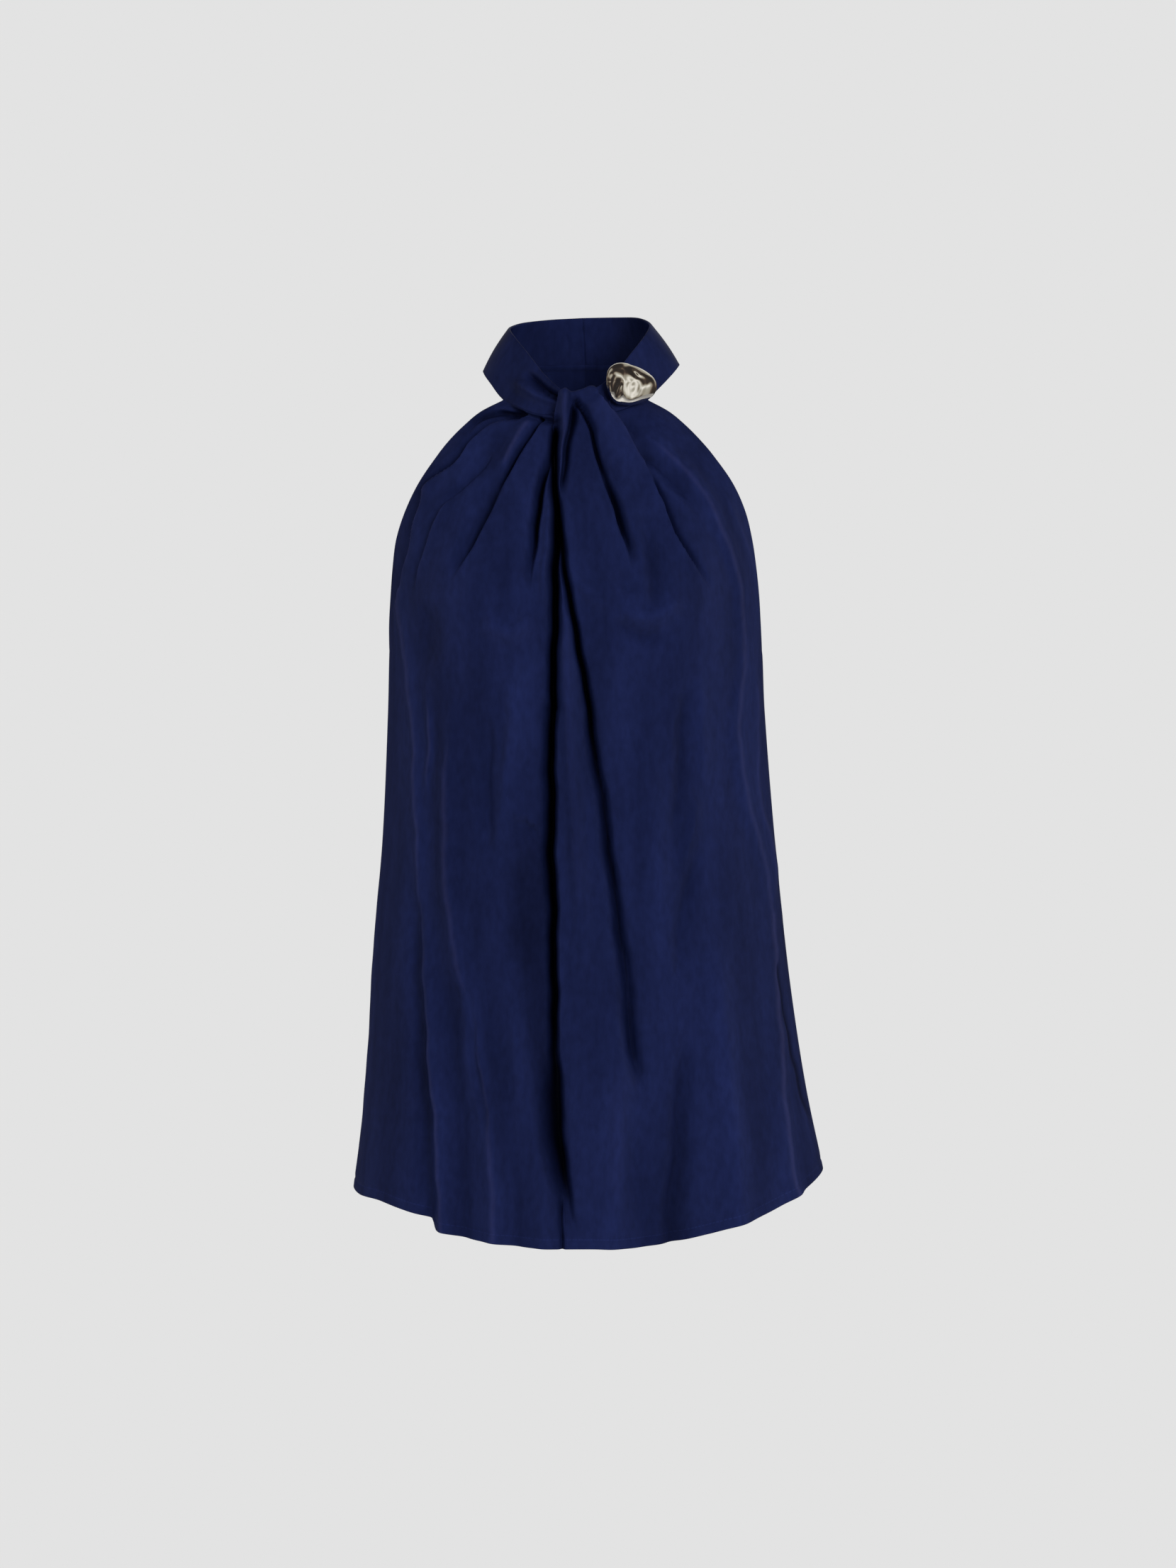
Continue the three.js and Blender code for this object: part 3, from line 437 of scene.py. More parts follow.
# Folds of the front: name, path, heights and reaches of the two sides, rise, fall, crest of painted
# highlight, or of painted shade below 0
FRONT_FOLDS = [
    Fold("centre", "783,590 783,640 784,700 785,750 784,800 783,860 782,930 780,1000",
         -24, -24, 6, 5, 0.06, 0),
    Fold("centre_mid", "780,1000 780,1100 780,1200 783,1300 783,1400 785,1500 788,1560",
         -20, -20, 10, 3.6, 0, 0.25),
    Fold("centre_low", "784,1450 788,1560 792,1610 797,1660 803,1700 808,1722 817,1740 829,1757",
         -14, -14, 15, 4.5, 0.3, 0.4),
    Fold("centre_wide", "780,1480 785,1560 790,1620 797,1680 802,1710", -5, -5, 26, 12, 0.4, 0.4),
    Fold("centre_soft", "772,1000 766,1200 762,1400 770,1550 786,1690", -7, -7, 26, 12, 0.4, 0.25),
    Fold("seam", "790,1685 792,1710 793,1740 794,1775", -5, -5, 3, 2.5, 0.2, 0),
    Fold("second", "789,716 791,745 795,772 799,800 804,840 811,880 820,920 826,950 833,1000 841,1050 "
         "849,1100", -16, -16, 6, 3.4, 0.1, 0.35),
    Fold("second_low", "826,950 833,1000 841,1050 849,1100 858,1150 864,1200 870,1250 878,1300 885,1340 "
         "890,1380", -12, -12, 10, 3, 0.35, 0.35),
    Fold("second_soft", "870,1250 884,1340 893,1420 898,1480 908,1550", -10, -6, 13, 5, 0.35, 0.25),
    Fold("between", "793,800 797,900 800,1000 806,1100 812,1200 818,1300 825,1400", 6, 6, 10, 14, 0.2, 0.3),
    Fold("roll_valley", "812,562 808,580 803,600 799,622 797,648 794,680 793,715",
         -11, -11, 3, 6, 0.06, 0.3),
    Fold("roll", "796,552 795,580 793,620 791,660 790,700 789,730", 5, 5, 8, 8, 0, 0.5, 0.1),
    Fold("flap_line", "806,553 813,560 820,570 827,586 834,604 840,623 846,645 852,667 858,685",
         -11, -11, 3.2, 2.6, 0.12, 0.35),
    Fold("flap_valley", "840,620 846,645 852,666 858,685 864,704 871,727 878,746 886,767 891,787 896,812",
         -14, -14, 2.6, 7, 0.5, 0.4),
    Fold("flap_body", "818,553 834,578 850,612 862,640", 3.5, 3.5, 9, 13, 0, 0.5),
    Fold("flap_dark", "866,640 869,665 873,690", -3, -3, 6, 7),
    Fold("soft_inner", "903,700 912,740 919,780 922,810 920,840 912,868", -5, -5, 11, 9, 0.5, 0.25),
    Fold("flap_edge", "843,548 853,562 863,575 872,590 882,606 893,624 905,644 917,667",
         5, -3.5, 24, 11, 0.05, 0.15, 0.1),
    Fold("inner_edge", "914,660 922,680 931,702 940,727 950,750 961,772 974,794 987,815 1000,837",
         2.4, -7, 14, 6, 0.15, 0.35),
    Fold("flap_shade", "895,615 912,640 935,662 960,690 985,725", -5, -5, 7, 12, 0.3, 0.5),
    Fold("soft_ridge", "905,652 935,690 965,715 980,738", 2, 2, 5, 6, 0.3, 0.4),
    Fold("right_ridge", "893,600 925,625 950,650 975,678 994,705 1010,738 1024,772 1033,805 1040,840 "
         "1044,880 1045,920 1042,960 1040,1000", 4, 4, 8, 15, 0.15, 0, 0.2),
    Fold("right_ridge_mid", "1040,1000 1040,1050 1046,1100 1058,1150 1070,1200 1080,1245 1086,1290",
         3.6, 3.6, 10, 12, 0, 0, 0.2),
    Fold("right_ridge_low", "1086,1290 1088,1340 1093,1400 1096,1450 1100,1500 1103,1550 1108,1600 "
         "1114,1645 1126,1690", 4, 4, 16, 10, 0, 0, 0.34),
    Fold("right_outer", "1012,690 1030,715 1045,745 1055,775 1062,805 1067,840",
         1.5, 1.5, 6, 6, 0.3, 0.3, 0.2),
    Fold("right_outer_low", "1058,930 1065,965 1068,1000 1067,1040 1065,1080 1069,1120 1078,1160 "
         "1087,1200 1091,1240 1090,1290", 2.2, 2.2, 5, 5, 0.15, 0.2, 0.18),
    Fold("right_a", "966,950 960,1050 955,1120 948,1200", -3, -3, 8, 8),
    Fold("right_b", "985,1120 975,1170 957,1235", 3.4, 3.4, 7, 9),
    Fold("right_c", "985,1190 968,1260 958,1330 958,1400", -3, -3, 9, 10),
    Fold("right_d", "975,1430 965,1500 963,1560 958,1620 950,1700 948,1775", -6, -6, 12, 12, 0.3, 0),
    Fold("right_e", "905,1560 895,1640 905,1700 915,1775", -4, -4, 18, 18, 0.4, 0),
    Fold("right_f", "860,1380 870,1480 872,1560 868,1650 862,1775", 4.5, 4.5, 16, 16, 0.3, 0),
    Fold("right_g", "1010,1300 1020,1450 1035,1600 1050,1775", 4.5, 4.5, 18, 18, 0.3, 0),
    Fold("right_h", "985,940 990,1040 988,1120", 2.5, 2.5, 10, 12),
    Fold("right_i", "900,1000 915,1120 925,1240 930,1360", 3.5, 3.5, 16, 18, 0.3, 0.4),
    Fold("left_pleat", "764,586 756,597 747,612 738,627 725,649 711,677 700,698",
         -10, -10, 3, 2.2, 0.08, 0.4),
    Fold("left_pleat_low", "730,640 718,662 706,688 693,713 680,740 669,762 658,784 649,803 639,823",
         -9, -9, 12, 2.6, 0.45, 0.35),
    Fold("left_pleat_top", "752,590 738,604 726,626 714,650 696,684", 4, 4, 9, 8, 0.08, 0.5, 0.25),
    Fold("under_strip", "716,571 730,577 746,585 764,590 776,592 785,590", -9, -9, 5, 5, 0.1, 0),
    Fold("shoulder", "740,583 715,585 695,584 676,590 664,600 655,616", -11, -11, 5, 3, 0.06, 0.4),
    Fold("shoulder_edge", "738,592 712,592 693,598 676,611 662,625 651,643 640,655 625,665 611,675 603,687",
         -9, 3, 8, 14, 0.1, 0),
    Fold("shoulder_soft", "700,632 682,655 664,676 646,697 626,714", -3.5, -3.5, 10, 8),
    Fold("left_ridge", "603,687 595,710 587,732 581,755 576,780 570,805 566,835",
         -5, 2.5, 14, 12, 0, 0, 0.3),
    Fold("left_ridge_mid", "566,835 567,870 572,910 578,950 583,1000 586,1050 587,1100 590,1180 592,1250 "
         "595,1300", 3.4, 3.4, 6, 10, 0, 0, 0.22),
    Fold("left_ridge_low", "595,1300 598,1350 603,1450 610,1530 616,1580 620,1640 622,1718 624,1750",
         3.6, 3.6, 7, 12, 0, 0, 0.25),
    Fold("left_deep", "590,1180 588,1300 590,1400 595,1500 600,1600 604,1760", -5, -5, 14, 10, 0.3, 0),
    # Painted shade: a dark line along the right side seam, with only a slight dip of the cloth under it
    Fold("side_seam_shade", "1090,1350 1098,1393 1106,1436 1115,1482 1124,1510 1133,1549 1147,1596",
         -1.2, -1.2, 3, 3, 0.1, 0.2, -1.1),
    Fold("second_ridge", "700,632 682,660 660,685 640,701 625,716 613,740 603,765 596,790 590,815 585,840",
         -2, 1.8, 8, 10, 0.3, 0.2, 0.3),
    Fold("thin_ridge", "603,960 605,1000 606,1050 604,1100 604,1150", 1.8, 1.8, 4, 5, 0.3, 0.4, 0.3),
    Fold("inner_pleat", "783,622 777,645 771,668 766,690 761,712 757,738 755,765 751,800 746,845",
         -14, -14, 8, 2.6, 0.25, 0.5),
    Fold("left_strip", "775,680 772,740 769,800 764,850 755,890", 3, 3, 6, 5, 0.3, 0.4),
    Fold("swag_left", "685,862 700,882 720,890 738,880 752,850", 3.8, 3.8, 15, 9),
    Fold("swag_right", "868,842 885,862 906,870 928,864 945,852 962,846", 4, 4, 15, 8),
    Fold("bowl", "806,788 812,812 825,832 845,850 868,862", 3.4, 3.4, 9, 9, 0.35, 0.3),
    Fold("bowl_dark", "868,800 880,822 896,842", -3.2, -3.2, 13, 13, 0.4, 0.4),
    Fold("swag_shade", "862,868 885,888 912,897 940,893", -4, -4, 12, 10),
    Fold("left_a", "608,840 606,900 600,960", -3.4, -3.4, 14, 16, 0.3, 0.4),
    Fold("left_light", "745,900 742,960 735,1030 728,1100", 3, 3, 12, 12, 0.3, 0.4),
    Fold("left_b", "640,940 635,1000 632,1080 630,1160 632,1250 643,1340 658,1400 674,1480 686,1560 "
         "694,1640 698,1775", 5, 5, 13, 13, 0.25, 0, 0.2),
    Fold("left_hollow", "705,1200 695,1330 700,1450 725,1580", -3.2, -3.2, 50, 45, 0.4, 0.4),
    Fold("right_full", "850,1480 862,1580 880,1690", 2.6, 2.6, 36, 60, 0.4, 0.2),
    Fold("right_chest", "925,930 945,1080 950,1240", 2, 2, 40, 45, 0.4, 0.4),
    Fold("left_c", "690,1000 688,1080 686,1150 690,1210", -4, -4, 12, 8),
    Fold("left_d", "722,930 722,1020 715,1100 707,1160 703,1220", 3.6, 3.6, 9, 12),
    Fold("left_e", "712,1150 740,1158 755,1168 766,1184", -2.5, 1, 26, 14, 0.4, 0.5),
    Fold("left_f", "735,1180 728,1260 735,1340 745,1400", -4, -4, 22, 20, 0.3, 0.4),
    Fold("left_g", "618,1330 628,1420 640,1500 650,1600 652,1760", -4, -4, 12, 12, 0.3, 0),
    Fold("left_h", "722,1380 728,1450 738,1520 755,1600 765,1680 768,1775", 3.6, 3.6, 12, 14, 0.3, 0),
    Fold("left_i", "708,1440 712,1540 722,1640 728,1770", -3.4, -3.4, 12, 12, 0.3, 0),
    Fold("left_k", "655,1360 664,1430 672,1500 684,1570 692,1640", -3.5, -3.5, 7, 6),
    Fold("left_j", "548,1180 540,1300 533,1400 527,1500 520,1600 512,1720", 2, 2, 12, 16, 0.3, 0),
]
# Folds of the back, which the photo doesn't show: easy vertical drapes under the shoulder blades
BACK_FOLDS = [
    Fold("blade_left", "745,540 715,730 690,930", 3, 3, 18, 18, 0.2, 0.5),
    Fold("blade_right", "898,540 930,730 960,950", 3, 3, 18, 18, 0.2, 0.5),
    Fold("drape_left", "705,960 690,1300 668,1800", 6, 6, 28, 25, 0.4, 0),
    Fold("drape_right", "918,940 945,1300 975,1800", 6, 6, 25, 30, 0.4, 0),
    Fold("trough_left", "772,1020 762,1300 750,1800", -5, -5, 23, 21, 0.5, 0),
    Fold("trough_right", "868,1000 880,1300 893,1800", -5, -5, 21, 23, 0.5, 0),
    Fold("side_left", "600,1050 590,1400 570,1750", -4, -4, 20, 18, 0.4, 0),
    Fold("side_right", "1030,1050 1050,1400 1085,1750", -4, -4, 18, 20, 0.4, 0),
]
COLLAR_FOLDS = [
    Fold("strip_valley", "741,522 752,534 765,546 776,554 789,561", -9, -9, 4, 6, 0.35, 0),
    Fold("strip_ridge", "724,536 740,546 756,556 772,564 788,569", 3.6, 3.6, 6, 8, 0.35, 0, 0.1),
    Fold("strip_soft", "712,545 735,562 762,577", -1.5, -1.5, 7, 8),
]
COLLAR_BACK_FOLDS = [
    Fold("dent", "798,462 801,476 804,492 805,508", 3, 1, 7, 4, 0.4, 0.4),
]


@dataclass(frozen=True)
class Lump:
    """A rise or dent of the metal in mm, placed in the photo in shares of the nugget's half size."""

    x: float
    z: float
    lift: float
    wide: float
    high: float
    turn: float = 0.0

    def on(self, x: Array, z: Array) -> Array:
        """Lift of this lump in mm at places seen in the photo."""
        c, s = math.cos(math.radians(self.turn)), math.sin(math.radians(self.turn))
        along, up = (x - self.x) * c + (z - self.z) * s, (z - self.z) * c - (x - self.x) * s
        return self.lift * bell(along / self.wide) * bell(up / self.high)


LUMPS = [
    Lump(-0.55, 0.4, 1.7, 0.36, 0.42),
    Lump(-0.5, -0.5, -1.4, 0.2, 0.45, -14),
    Lump(-0.27, -0.3, 1.5, 0.15, 0.6, 0),
    Lump(0.06, -0.22, -3.3, 0.21, 0.4, -8),
    Lump(0.06, -0.22, 1.9, 0.12, 0.24, -8),
    Lump(0.3, -0.75, 0.9, 0.5, 0.18, 30),
    Lump(0.62, -0.15, 1.3, 0.24, 0.5, -35),
    Lump(-0.25, 0.66, 1.0, 0.22, 0.28, 14),
    Lump(0.12, 0.5, -1.6, 0.15, 0.3, 40),
    Lump(0.5, 0.46, 1.1, 0.42, 0.2, -32),
]
# The nugget's outline in the photo: angle from its right, in degrees, and share of its even oval
NUGGET_OUTLINE = Curve(
    "angle share",
    [
        (-180, 1.0), (-156, 1.02), (-135, 1.13), (-120, 1.2), (-102, 1.14), (-77, 1.06), (-49, 1.02),
        (-27, 1.024), (-11, 1.018), (5, 0.983), (21, 0.934), (39, 0.87), (61, 0.85), (87, 0.9), (102, 1.0),
        (121, 1.1), (140, 1.11), (165, 1.036), (180, 1.0),
    ],
)


@dataclass(frozen=True)
class Section:
    """Rounded quarter section of the form as on a body, from a centre point to an edge point."""

    power: Array
    sag: Array

    def at(self, centre: Array, edge: Array, across: Array) -> tuple[Array, Array]:
        """Find places on the section that is cut off at the edge point.

        Args:
            centre: Points on the centre line.
            edge: Points on the armhole edge or the side seam.
            across: Share of the way from the centre to the edge.

        Returns:
            Points of the form, and the directions that face out of it.
        """
        deep = np.maximum(0, (edge[:, 1] - SIDE_SEAM_Y) / (centre[:, 1] - SIDE_SEAM_Y))
        wide = (1 - deep**self.power) ** (1 / self.power)
        side_x = centre[:, 0] + (edge[:, 0] - centre[:, 0]) / wide
        angle = across * np.arctan2(wide, deep)
        c, s = np.cos(angle), np.sin(angle)
        r = (np.abs(c) ** self.power + np.abs(s) ** self.power) ** (-1 / self.power)
        reach = s * r
        points = np.stack(
            [
                lerp(centre[:, 0], side_x, reach),
                lerp(SIDE_SEAM_Y, centre[:, 1], c * r),
                lerp(centre[:, 2], edge[:, 2], np.abs(reach / wide) ** self.sag),
            ],
            axis=-1,
        )
        width, depth = side_x - centre[:, 0], centre[:, 1] - SIDE_SEAM_Y
        out = np.stack([np.sign(width) * s / np.abs(width), c / depth, np.zeros_like(c)], axis=-1)
        return points, unit(out)


@dataclass(frozen=True)
class FormShape:
    """How a quarter of the form as on a body changes, in shares of its length and width.

    power and sag go from their first value at the neck to their second. The neck edge is followed down to
    settled_at, folds die away from still_from to the side, and swell is the height of the soft waves in mm.
    """

    power: Pair
    full_at: float
    sag: Pair
    settled_at: float
    still_from: float
    swell: float

    def section(self, v: Array) -> Section:
        """Sections at shares of the way down."""
        return Section(lerp(*self.power, smooth(v / self.full_at)), lerp(*self.sag, v))

    def settle(self, ends: tuple[Array, Array], neck: Array, across: Array, v: Array) -> Array:
        """Work out how far the top of the form moves to follow the neck edge.

        Args:
            ends: Points of the bare form at the middle and at the end of the neck edge.
            neck: Points of the neck edge.
            across: Share of the way from the middle to the side.
            v: Share of the way from the neck down to the hem.

        Returns:
            The moves in mm.
        """
        top = Section(np.full_like(v, self.power[0]), np.full_like(v, self.sag[0]))
        middle, side = (np.tile(end, (len(v), 1)) for end in ends)
        bare, _ = top.at(middle, side, across)
        return (neck - bare) * (np.clip(1 - v / self.settled_at, 0, 1) ** 2)[:, None]

    def loose(self, across: Array) -> Array:
        """Share of the folds that shows."""
        return 1 - ramp(across, self.still_from, 1)


FRONT_SHAPE = {
    Half.LEFT: FormShape((1.9, 2.35), 0.25, (2, 1.8), 0.12, 0.86, 0.35),
    Half.RIGHT: FormShape((1.9, 2.35), 0.25, (2, 3), 0.12, 0.86, 0.35),
}
BACK_SHAPE = FormShape((2, 2.3), 0.3, (2, 2.2), 0.1, 0.85, 0.6)


@dataclass(frozen=True)
class Bust:
    """Soft fullness at both sides of the middle, in mm."""

    lift: float = 7.0
    middle: float = -2.0
    apart: float = 74.0
    height: float = -172.0
    wide: float = 40.0
    high: float = 62.0

    def on(self, x: Array, z: Array) -> Array:
        """Lift at places of the front."""
        across = (np.abs(x - self.middle) - self.apart) / self.wide
        return self.lift * bell(across) * bell((z - self.height) / self.high)


@dataclass(frozen=True)
class HemLine:
    """How the front's hem leaves its even curve, in mm: a step outside the left fold, a rise on the right."""

    step: float = 8.0
    step_at: Pair = (-109.0, -114.0)
    eased: float = 0.5
    eased_at: Pair = (-150.0, -175.0)
    rise: float = 3.0
    rise_at: Pair = (40.0, 100.0)
    starts: float = 0.75

    def lift(self, x: Array, v: Array) -> Array:
        """Lift at places across and at shares of the way down."""
        step = self.step * ramp(x, *self.step_at) * (1 - self.eased * ramp(x, *self.eased_at))
        return (step + self.rise * ramp(x, *self.rise_at)) * ramp(v, self.starts, 1)


def seam_share(half: Half, v: Array) -> Array:
    """How much of the quarter is the front's: the right side seam swings forward below the hip."""
    return 1 - SEAM_SWING * ramp(v, *SEAM_SWINGS) if half is Half.RIGHT else np.ones_like(v)


def ripple(x: Array, z: Array, size: float) -> Array:
    """Gentle uneven swell of soft cloth.

    Args:
        x: Places across, in mm.
        z: Heights, in mm.
        size: Height of the swell, in mm.

    Returns:
        Lift at each place, in mm.
    """
    rng = np.random.default_rng(SEED)
    total = np.zeros_like(x)
    for _ in range(WAVES):
        across, up = rng.uniform(*WAVE_ACROSS), rng.uniform(*WAVE_UP)
        total += np.sin(across * x + up * z + rng.uniform(0, 2 * math.pi))
    return size * total / math.sqrt(WAVES)


def edge_point(half: Half, v: Array) -> Array:
    """Points on the front's armhole edge and side seam."""
    points = SIDE[half].points(v)
    points[:, 1] = np.where(v >= UNDERARM, SIDE_SEAM_Y, points[:, 1])
    return points


def front_form(half: Half, across: Array, v: Array) -> tuple[Array, Array]:
    """Form of the front with its folds.

    Args:
        half: Which front.
        across: Share of the way from the centre front to the side edge.
        v: Share of the way from the neck down to the hem.

    Returns:
        Points in mm, and how light each is painted.
    """
    shape = FRONT_SHAPE[half]
    centre = CENTRE_FRONT.spine(FALL[half].column("z", v))
    points, out = shape.section(v).at(centre, edge_point(half, v), across)
    ends = (CENTRE_FRONT.spine(FALL[half].column("z", 0.0)), SIDE[half].points(0.0))
    points += shape.settle(ends, NECK[half].points(across), across, v)
    points[:, 2] += HemLine().lift(points[:, 0], v)
    x, z = points[:, 0], points[:, 2]
    sewn = smooth(v / SEWN_LEFT)
    if half is Half.RIGHT:
        sewn = np.where(across > FLAP_END, smooth(v / SEWN_RIGHT), 1.0)
    fold, shine = relief(FRONT_FOLDS, points)
    lift = (fold * sewn + Bust().on(x, z) + ripple(x, z, shape.swell) * sewn) * shape.loose(across)
    return points + out * lift[:, None], shine


def back_form(half: Half, across: Array, v: Array) -> Array:
    """Form of the back with its folds.

    Args:
        half: Which back.
        across: Share of the way from the centre back to the side edge, more than 1 where the side seam lies
            on the front's quarter.
        v: Share of the way from the neck down to the hem.

    Returns:
        Points in mm.
    """
    flip = 1 if half is Half.LEFT else -1
    arm = BACK_ARMHOLE.points(v)
    apart = SIDE[half].column("x", UNDERARM) - BACK_ARMHOLE.column("x", UNDERARM) * flip
    arm[:, 0] = arm[:, 0] * flip + apart * smooth(v / UNDERARM)
    edge_at = np.where((v < UNDERARM)[:, None], arm, edge_point(half, v))
    centre = CENTRE_BACK.spine(BACK_FALL.column("z", v))
    centre[:, 0] -= 0.5 * SEAM * flip
    inside = np.minimum(across, 1)
    points, out = BACK_SHAPE.section(v).at(centre, edge_at, inside)
    neck = NECK_BACK.points(inside)
    neck[:, 0] = lerp(MID_BACK, -NECK_END * flip, (neck[:, 0] - MID_BACK) / (-NECK_END - MID_BACK))
    middle = NECK_BACK.points(0.0)
    middle[2] = BACK_FALL.column("z", 0.0)
    points += BACK_SHAPE.settle((middle, BACK_ARMHOLE.points(0.0) * (flip, 1, 1)), neck, inside, v)
    x, z = points[:, 0], points[:, 2]
    fold, _ = relief(BACK_FOLDS, points)
    lift = fold + ripple(x + BACK_WAVES_AT, z, BACK_SHAPE.swell)
    lift *= BACK_SHAPE.loose(inside) * smooth(v / SEWN_BACK)
    points += out * lift[:, None]
    return np.where((across > 1)[:, None], front_form(half, np.minimum(2 - across, 1), v)[0], points)


def column_share(half: Half, u: Array, v: Array) -> Array:
    """Share across of a column that is spread so that the guide column follows its fold."""
    guide = GUIDE[half].column("a", np.clip(v, 0, 1))
    at = GUIDE_AT[half]
    inner = guide * (np.minimum(u, at) / at) ** COLUMN_CROWDING
    return np.where(u <= at, inner, lerp(guide, 1, (u - at) / (1 - at)))


@dataclass(frozen=True)
class ClothFinish:
    """Dyed satin-backed cloth, paler as a painted highlight where its painted light is brightest, with
    stitches lighter by thread.
    """

    name: str
    colour: Triple
    # Pale tint of the painted highlight, and the levels of painted light over which it fades in
    highlight_tint: Triple = (0.034, 0.028, 0.05)
    highlight_from: Pair = (1.14, 2.0)
    thread: float = 1.35
    roughness: float = 0.55
    gloss: float = 0.05


@dataclass(frozen=True)
class MetalFinish:
    """Polished cast metal."""

    name: str
    colour: Triple
    roughness: float = 0.1


class Shader:
    """Small helper that adds nodes to a tree and links them."""

    def __init__(self, tree: Tree) -> None:
        """Start on an emptied tree."""
        self.tree = tree
        tree.nodes.clear()

    def node(self, kind: str, links: dict[str, object] | None = None, **settings: object) -> bpy.types.Node:
        """Add a node.

        Args:
            kind: The node's type.
            links: Input sockets by name, each with a value or the output socket that feeds it.
            settings: Properties of the node.

        Returns:
            The new node.
        """
        made = self.tree.nodes.new(kind)
        for key, value in settings.items():
            setattr(made, key, value)
        for key, value in (links or {}).items():
            socket = made.inputs[int(key)] if key.isdigit() else made.inputs[key]
            if isinstance(value, Socket):
                self.tree.links.new(value, socket)
            else:
                socket.default_value = value
        return made

    def math(self, operation: str, first: object, second: object = 0.0) -> Socket:
        """Add a step of arithmetic and give its output."""
        return self.node("ShaderNodeMath", {"0": first, "1": second}, operation=operation).outputs[0]

    def vector_math(self, operation: str, links: dict[str, object]) -> Socket:
        """Add a step of arithmetic with colours and give its output."""
        return self.node("ShaderNodeVectorMath", links, operation=operation).outputs[0]

    def spread(self, value: object, source: Sequence[float], target: Sequence[float]) -> Socket:
        """Map a value from one range to another and give the output."""
        names = ("Value", "From Min", "From Max", "To Min", "To Max")
        return self.node("ShaderNodeMapRange", dict(zip(names, (value, *source, *target)))).outputs[0]

    def noise(self, vector: object, stretch: Sequence[float], detail: float) -> Socket:
        """Add a noise over stretched places and give its output."""
        place = self.node("ShaderNodeMapping", {"Vector": vector, "Scale": stretch})
        links = {"Vector": place.outputs[0], "Scale": 1.0, "Detail": detail}
        return self.node("ShaderNodeTexNoise", links).outputs[0]

    def attribute(self, name: str) -> Socket:
        """Read a value of the mesh's vertices."""
        return self.node("ShaderNodeAttribute", attribute_name=name).outputs["Fac"]

    def surface(self, links: dict[str, object]) -> None:
        """End a material in a principled surface."""
        made = self.node("ShaderNodeBsdfPrincipled", links)
        self.node("ShaderNodeOutputMaterial", {"Surface": made.outputs[0]})


def new_material(name: str) -> tuple[Material, Shader]:
    """Start a material on an empty tree."""
    material = bpy.data.materials.new(name)
    material.use_nodes = True
    return material, Shader(material.node_tree)


def new_group(
    name: str, kind: str, inputs: Sequence[str], outputs: Sequence[str]
) -> tuple[Tree, Shader, bpy.types.Node]:
    """Start a node group.

    Args:
        name: The group's name.
        kind: Socket type of its inputs.
        inputs: Names of its inputs.
        outputs: Names of its outputs, which are numbers.

    Returns:
        The group, its shader and its entry node.
    """
    group = bpy.data.node_groups.new(name, "ShaderNodeTree")
    shader = Shader(group)
    for socket in inputs:
        group.interface.new_socket(socket, in_out="INPUT", socket_type=kind)
    for socket in outputs:
        group.interface.new_socket(socket, in_out="OUTPUT", socket_type="NodeSocketFloat")
    return group, shader, shader.node("NodeGroupInput")


def woven_group() -> Tree:
    """Build the shared cloth pattern: cross threads, slubs and a soft unevenness.

    Returns:
        Node group with a Shade and a Height output.
    """
    group, shader, entry = new_group("woven_satin", "NodeSocketVector", ["Vector"], ["Shade", "Height"])
    vector = entry.outputs["Vector"]
    threads = shader.node("ShaderNodeTexNoise", {"Vector": vector, "Scale": 1900.0, "Detail": 2.0})
    height = shader.math("ADD", shader.noise(vector, *SLUBS), threads.outputs[0])
    broad = shader.spread(shader.noise(vector, *MOTTLE), NOISE_RANGE, MOTTLE_SHADE)
    grain = shader.spread(shader.noise(vector, *BRUSHED), NOISE_RANGE, BRUSHED_SHADE)
    shader.node("NodeGroupOutput", {"Shade": shader.math("MULTIPLY", broad, grain), "Height": height})
    return group


def stitch_group() -> Tree:
    """Build the mask of a run of hem stitches from the distance to the line and the way along it, in mm.

    Returns:
        Node group with a Mask output.
    """
    group, shader, entry = new_group("hem_stitches", "NodeSocketFloat", ["Hem", "Along"], ["Mask"])
    apart = shader.math("ABSOLUTE", shader.math("SUBTRACT", entry.outputs["Hem"], HEM_OFFSET))
    line = shader.spread(apart, STITCH_EDGE, (1.0, 0.0))
    place = shader.math("FRACT", shader.math("MULTIPLY", entry.outputs["Along"], STITCH_PITCH))
    dash = shader.math("GREATER_THAN", place, STITCH_GAP)
    shader.node("NodeGroupOutput", {"Mask": shader.math("MULTIPLY", line, dash)})
    return group


